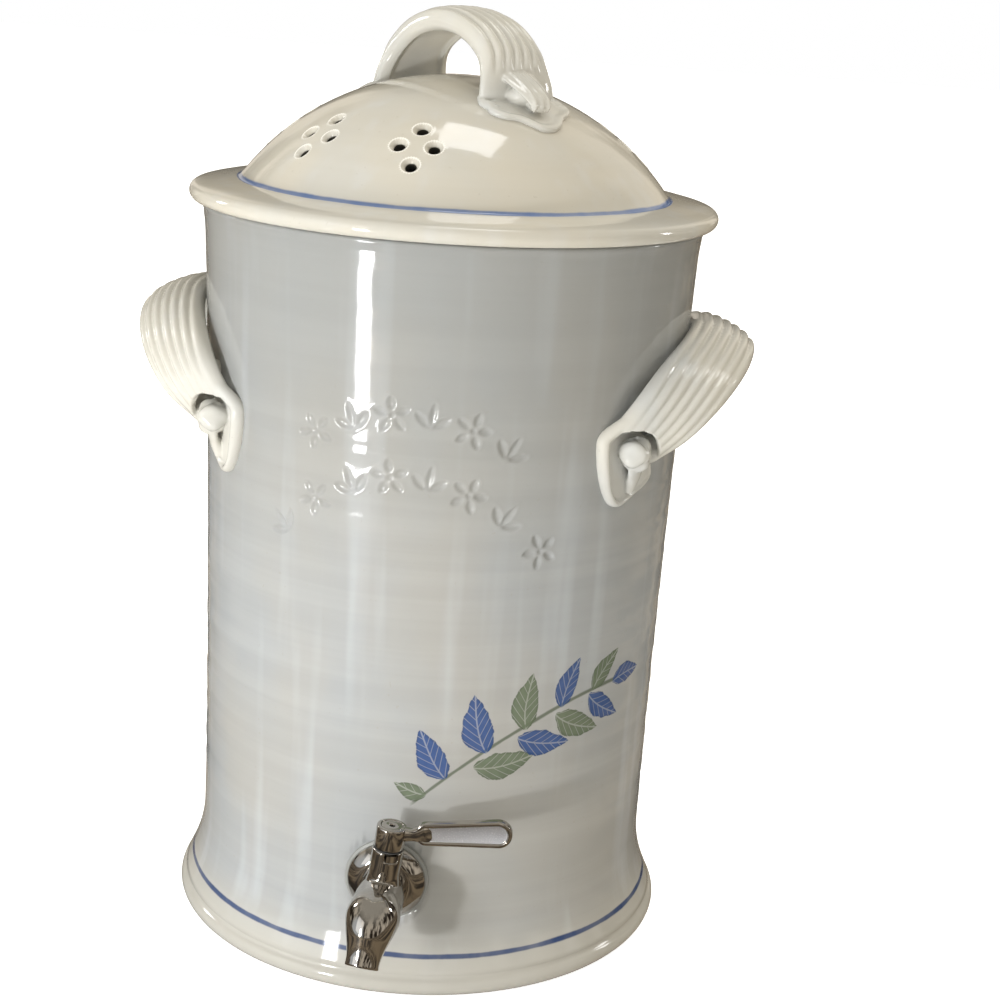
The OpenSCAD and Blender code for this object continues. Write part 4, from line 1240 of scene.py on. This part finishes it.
def spout_shell(t):
    """The spout: its outside, its lip and its waterway back to the barrel"""
    bend, full = t["spout_bend"], t["spout_turn"]
    total = bend * full + t["spout_end"]
    start, widest, tip = t["barrel_radius"], t["spout_wide"], t["spout_tip"]

    def ring(k, r):
        s = total * k
        a = min(s / bend, full)
        rest = max(0.0, s - bend * full)
        mid = np.array((0, -t["barrel_front"] - bend * math.sin(a) - rest * math.cos(a),
                        -bend * (1 - math.cos(a)) - rest * math.sin(a)))
        out = np.array((0, -math.sin(a), math.cos(a)))
        return [mid + r * (math.cos(b) * np.array((1, 0, 0)) + math.sin(b) * out)
                for b in np.linspace(0, 2 * math.pi, 64, endpoint=False)]

    rings = []
    for k in np.linspace(-0.45, 1, 60)[:-1]:
        swell = start + (widest - start) * math.sin(math.pi / 2 * min(1, max(0, k) / 0.3))
        rings.append(ring(k, swell + (tip - swell) * float(ramp((k - 0.2) / 0.72))))
    rings += [ring(0.985, tip), ring(0.997, tip - 0.2), ring(1, tip - 0.7), ring(0.995, tip - t["lip"])]
    rings += [ring(k, tip - t["lip"] - 1.2 * float(ramp((1 - k) / 0.7))) for k in np.linspace(0.95, 0.15, 24)]
    return capped(rings)


def blade_ring(t, inset, y):
    """One outline of the lever's blade, drawn in by a length"""
    low, tip = 5.2, 6.3
    near, far = t["hub_radius"] + 4 + low, t["reach"] - tip
    lean = math.degrees(math.asin(((tip - inset) - (low - inset)) / (far - near)))
    outline = np.concatenate([arc((near, 0), low - inset, 90 + lean, 270 - lean, 28),
                              arc((far, 0), tip - inset, -90 - lean, 90 + lean, 28)])
    return [(x, y, z) for x, z in outline]


def lever_blade(t):
    """The lever's blade with a plain edge round the panel on each face; the panels are its last two faces"""
    half = t["blade"] / 2
    front = [(2.1, half - 0.62), (1.85, half - 0.5), (1.72, half - 0.16), (1.5, half), (1.0, half),
             (0.55, half - 0.08), (0.22, half - 0.32), (0.05, half - 0.75), (0.0, half - 1.2)]
    back = [(d, -y) for d, y in front]
    return capped([blade_ring(t, d, y) for d, y in back + front[::-1]])


def lever_neck(t):
    """The neck between hub and blade"""
    rings = []
    # distance from the hub's axis, half height, half thickness, height of the middle
    for x, high, thick, mid in spline([(1.5, 3.2, 3.0, -0.2), (6.0, 3.2, 2.9, -0.3), (9.2, 2.9, 2.7, -0.35),
                                       (12.2, 3.6, 2.6, -0.2), (15.2, 4.5, 2.35, 0), (18.5, 4.3, 1.7, 0)], 7):
        ring = []
        for a in np.linspace(0, 2 * math.pi, 40, endpoint=False):
            c, s = math.cos(a), math.sin(a)
            across, up = math.copysign(abs(c) ** 0.7, c), math.copysign(abs(s) ** 0.7, s)
            ring.append((x, thick * across, mid + high * up))
        rings.append(ring)
    return capped(rings)


class CrockOperator(bpy.types.Operator):
    bl_options = {"REGISTER", "UNDO"}


class OBJECT_OT_crock_wall(CrockOperator):
    """Throws the crock: wall, foot, rim and inside"""

    bl_idname = "object.crock_wall"
    bl_label = "Crock wall"

    def execute(self, context):
        c = sizes(context.scene.crock_looks)
        points, faces = thrown_wall(c)
        seat_flat(points, sizes(context.scene.tap_looks))
        obj = outward(to_object("crock_wall", points, faces))
        glaze = glaze_material("Crock glaze", c["cool"], c["warm"], 0.0, 0.2, crock_paint(c))
        settle(obj, glaze, "crock", ["crock_body"])
        return {"FINISHED"}


class OBJECT_OT_crock_lid(CrockOperator):
    """Throws the lid with its groups of vent holes"""

    bl_idname = "object.crock_lid"
    bl_label = "Lid"

    def execute(self, context):
        c = sizes(context.scene.lid_looks)
        points, faces, marks = lid_shell(c, sizes(context.scene.crock_looks))
        obj = outward(to_object("lid_shell", *moved((points, faces), Matrix.Rotation(c["turn"], 4, "Z"))))
        for label, values in marks.items():
            obj.data.attributes.new(label, "FLOAT", "POINT").data.foreach_set("value", values)
        glaze = glaze_material("Lid glaze", c["cool"], c["warm"], 0.05, 0.12, lid_paint(c))
        settle(obj, glaze, "lid_assembly", ["lid"])
        return {"FINISHED"}


class OBJECT_OT_crock_straps(CrockOperator):
    """Pulls the two side handles and the lid's handle, with their pressed ends"""

    bl_idname = "object.crock_straps"
    bl_label = "Strap handles"

    def execute(self, context):
        scene = context.scene
        st, c = sizes(scene.strap_looks), sizes(scene.crock_looks)
        glaze = glaze_material("Strap glaze", st["cool"], st["warm"], 0.08, 0.1)
        parts = side_strap(st, c)
        for side, matrix in (("right", Matrix.Identity(4)), ("left", Matrix.Scale(-1, 4, (1, 0, 0)))):
            obj = fused(side + "_strap", [moved(p, matrix) for p in parts], st["voxel"], 5)
            nodes = [side + "_handle", side + "_handle_ends", side + "_handle_curls"]
            settle(obj, glaze, "crock", nodes)
        obj = fused("lid_strap", lid_strap(st, sizes(scene.lid_looks), c), st["voxel"], 5)
        nodes = ["lid_handle", "lid_handle_ends", "lid_handle_curls"]
        settle(obj, glaze, "lid_assembly", nodes)
        return {"FINISHED"}


class OBJECT_OT_crock_tap(CrockOperator):
    """Casts the tap's body and spout, and turns its flange, seal and threaded shank"""

    bl_idname = "object.crock_tap"
    bl_label = "Tap"

    def execute(self, context):
        looks = context.scene.tap_looks
        t = sizes(looks)
        steel, silicone = steel_material(looks), plain_material("Silicone", looks.silicone, 0.28)
        place = tap_place(t)
        column = place @ Matrix.Translation((0, -t["column_reach"], 0))
        lying, standing = (Matrix.Rotation(math.radians(a), 4, "X") for a in (90, -90))

        barrel = rod(t["barrel_radius"], 8.0, t["barrel_front"] + 1)
        shoulder = rod(9.2, 0, 13.0, 6.9)
        parts = [moved(barrel, place @ lying), moved(spout_shell(t), place), moved(column_bar(t), column),
                 moved(shoulder, column)]
        settle(fused("tap_casting", parts, t["voxel"], 12), steel, "crock", ["tap_body", "spout"])

        dome = [(18.0 - 7.0 * k, 1.2 + 4.8 * math.sin(math.pi / 2 * k)) for k in np.linspace(0.06, 1, 14)]
        flange = [(0.01, 0), (17.3, 0), (17.8, 0.2), (18.0, 0.6), *dome, (10.5, 6.0), (0.01, 6.0)]
        before_seal = place @ Matrix.Translation((0, -2, 0)) @ lying
        settle(turned("tap_flange", flange, before_seal, 120, steel), steel, "crock", ["tap_shank"])

        shank = [(4.5, -2.2), (7.5, -2.2), (7.5, 18.6), (7.0, 19.2), (4.9, 19.2), (4.5, 18.8), (4.5, -2.2)]
        settle(turned("tap_shank_tube", shank, place @ standing, 72, steel), steel, "crock", [])

        thread = grown(to_object("tap_thread", [(0, 0, 0)], []), tree_of("Screw thread", thread_tree),
                       Radius=7.42 * MM, Height=13.0 * MM, Turns=8.0, Ridge=0.62 * MM, Material=steel)
        where = place @ Matrix.Translation((0, 5.4, 0)) @ standing
        where.translation *= MM
        thread.data.transform(where)
        settle(outward(thread), steel, "crock", [])

        seal = [(8.1, 0), (18.7, 0), (19.15, 0.45), (19.25, 1.0), (19.15, 1.6), (18.8, 2.0), (8.1, 2.0),
                (8.1, 0)]
        obj = turned("tap_seal", seal, place @ lying, 96, silicone)
        settle(obj, silicone, "crock", ["outer_seal"])
        return {"FINISHED"}


class OBJECT_OT_crock_lever(CrockOperator):
    """Makes the lever: hub, neck, panelled blade and capped screw"""

    bl_idname = "object.crock_lever"
    bl_label = "Lever"

    def execute(self, context):
        looks = context.scene.tap_looks
        t = sizes(looks)
        steel = steel_material(looks)
        r, h = t["hub_radius"], t["hub_height"]
        hub = tap_place(t) @ Matrix.Translation((0, -t["column_reach"], t["column_height"] + 0.5))
        arm = hub @ Matrix.Translation((0, 0, h * 0.6)) @ Matrix.Rotation(-t["rise"], 4, "Y")
        profile = [(2.2, 0.0), (r - 0.7, 0.0), (r - 0.2, 0.2), (r, 0.7), (r, h - 0.9), (r - 0.15, h - 0.35),
                   (r - 0.55, h - 0.05), (r - 1.0, h), (5.35, h), (5.15, h - 0.15), (5.1, h - 0.5),
                   (5.1, h - 2.0), (2.2, h - 2.0), (2.2, 0.0)]
        settle(turned("lever_hub", profile, hub, 96, steel), steel, "tap_lever", [])

        points, faces = lever_blade(t)
        blade = to_object("lever_blade", *moved(joined([(points, faces), lever_neck(t)]), arm))
        blade.data.materials.append(steel)
        blade.data.materials.append(blasted_material(looks))
        outward(blade)
        for i in range(len(faces) - 2, len(faces)):
            blade.data.polygons[i].material_index = 1
        settle(blade, None, "tap_lever", ["lever"])

        screw = [(1.2, h - 2.0), (4.95, h - 2.0), (4.95, h - 0.45), (4.75, h - 0.15), (4.4, h - 0.08),
                 (1.55, h - 0.08), (1.3, h - 0.3), (1.2, h - 0.7), (1.2, h - 2.0)]
        settle(turned("lever_cap", screw, hub, 72, steel), steel, "tap_lever", ["lever_screw"])
        return {"FINISHED"}


class OBJECT_OT_crock_fittings(CrockOperator):
    """Finishes the fittings that are shown as the CAD made them"""

    bl_idname = "object.crock_fittings"
    bl_label = "Inner fittings"

    def execute(self, context):
        looks = context.scene.tap_looks
        steel = steel_material(looks)
        silicone = plain_material("Silicone", looks.silicone, 0.28)
        rubber = plain_material("Ring rubber", (0.03, 0.03, 0.03), 0.45)
        slick = plain_material("Slide washer", (0.05, 0.05, 0.05), 0.35)
        shown = {"backing_washer": steel, "lock_nut": steel, "valve_plug": steel, "stop_key": steel,
                 "inner_seal": silicone, "plug_o_rings": rubber, "thrust_washer": slick}
        for name, made in shown.items():
            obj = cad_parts[name]
            obj.data.materials.clear()
            obj.data.materials.append(made)
        return {"FINISHED"}


class OBJECT_OT_crock_stage(CrockOperator):
    """Lays the pale floor, hangs the windows and sets the camera"""

    bl_idname = "object.crock_stage"
    bl_label = "Stage"

    def execute(self, context):
        scene, s = context.scene, context.scene.stage_looks
        self.ground(s)
        for window in WINDOWS:
            self.window(scene, s, *window)
        self.room(scene, s)
        eye = bpy.data.cameras.new("Camera")
        eye.sensor_fit, eye.sensor_width, eye.lens = "HORIZONTAL", 36.0, s.lens
        eye.clip_start, eye.clip_end = 0.01, 100.0
        camera = bpy.data.objects.new("Camera", eye)
        camera.location = s.eye
        camera.rotation_euler = s.look
        scene.collection.objects.link(camera)
        scene.camera = camera
        scene.view_settings.view_transform = "Standard"
        return {"FINISHED"}

    def ground(self, s):
        """A pale floor that the steel mirrors as brown ground"""
        far = 9000
        corners = [(-far, -far, 0), (far, -far, 0), (far, far, 0), (-far, far, 0)]
        floor = to_object("floor", corners, [[0, 1, 2, 3]])
        made, net, shader, place = material("Pale floor")
        pale = net.mix(net.noise(place, 1.5, 2.0), tuple(v * 0.985 for v in s.floor), s.floor)
        boards = net.noise(net.stretched(place, (7.0, 2.0, 1.0)), 2.2, 3.0)
        ground = net.mix(net.step(boards, 0.42, 0.6), s.shade, s.ground)
        path = net.outs("ShaderNodeLightPath")
        net.put(shader, {"Base Color": net.mix(path["Is Glossy Ray"], pale, ground), "Roughness": 0.9,
                         "Emission Color": (1, 1, 1), "Emission Strength": path["Is Camera Ray"] * 0.75})
        floor.data.materials.append(made)

    def window(self, scene, s, name, place, aim, size, power, mirrored):
        light = bpy.data.lights.new(name, "AREA")
        light.shape = "RECTANGLE"
        light.size, light.size_y = size
        light.energy = getattr(s, power)
        obj = bpy.data.objects.new(name, light)
        obj.location = place
        away = obj.location - Matrix.Translation(aim).translation
        obj.rotation_euler = away.to_track_quat("Z", "Y").to_euler()
        obj.visible_camera = False
        obj.visible_glossy = mirrored
        scene.collection.objects.link(obj)

    def room(self, scene, s):
        """A warm room with a bright side, which the steel mirrors as pale and dark stripes"""
        world = bpy.data.worlds.new("Room")
        scene.world = world
        world.use_nodes = True
        world.node_tree.nodes.clear()
        net = Net(world.node_tree)
        way = net.out("ShaderNodeTexCoord", key="Generated")
        x, y, z = net.parts(way)
        facing = x * -0.8 - y * 0.6
        sway = facing + (net.noise(way, 2.6, 2.0) * 0.9 - 0.45)
        tone = net.mix(net.step(sway, -0.5, 0.75), s.room, s.day)
        tone = net.mix(net.step(z, 0.25, 0.8), tone, s.ceiling_tone)
        stripes = net.noise(net.stretched(way, (1.0, 1.0, 0.3)), 4.2, 3.0)
        mirrored = net.mix(net.step(stripes, 0.44, 0.58), s.shade, s.glow)
        mirrored = net.mix(net.step(facing, 0.78, 0.92), mirrored, s.day)
        dusk = tuple(v * 0.45 for v in s.ceiling_tone)
        mirrored = net.mix(net.step(z, 0.3, 0.9), mirrored, dusk)
        path = net.outs("ShaderNodeLightPath")
        tone = net.mix(path["Is Glossy Ray"], tone, mirrored)
        lit = net.out("ShaderNodeBackground", {"Color": tone, "Strength": s.fill})
        pale = net.out("ShaderNodeBackground", {"Color": (1, 1, 1), "Strength": 1.0})
        choice = net.out("ShaderNodeMixShader", {0: path["Is Camera Ray"], 1: lit, 2: pale})
        net.node("ShaderNodeOutputWorld", {"Surface": choice})


class VIEW3D_PT_crock(bpy.types.Panel):
    """The crock's pieces in the order in which they are made"""

    bl_idname = "VIEW3D_PT_crock"
    bl_label = "Kombucha crock"
    bl_space_type = "VIEW_3D"
    bl_region_type = "UI"
    bl_category = "Crock"

    def draw(self, context):
        for made in STEPS:
            self.layout.operator(made.bl_idname)


STEPS = (OBJECT_OT_crock_wall, OBJECT_OT_crock_lid, OBJECT_OT_crock_straps, OBJECT_OT_crock_tap,
         OBJECT_OT_crock_lever, OBJECT_OT_crock_fittings, OBJECT_OT_crock_stage)
LOOKS = {"crock_looks": CrockLooks, "lid_looks": LidLooks, "strap_looks": StrapLooks, "tap_looks": TapLooks,
         "stage_looks": StageLooks}
CLASSES = (*LOOKS.values(), *STEPS, VIEW3D_PT_crock)


def register():
    for made in CLASSES:
        bpy.utils.register_class(made)
    for name, made in LOOKS.items():
        setattr(bpy.types.Scene, name, PointerProperty(type=made))


def unregister():
    for name in LOOKS:
        delattr(bpy.types.Scene, name)
    for made in reversed(CLASSES):
        bpy.utils.unregister_class(made)


def main():
    register()
    for made in STEPS:
        group, name = made.bl_idname.split(".")
        getattr(getattr(bpy.ops, group), name)()


if __name__ == "__main__":
    main()
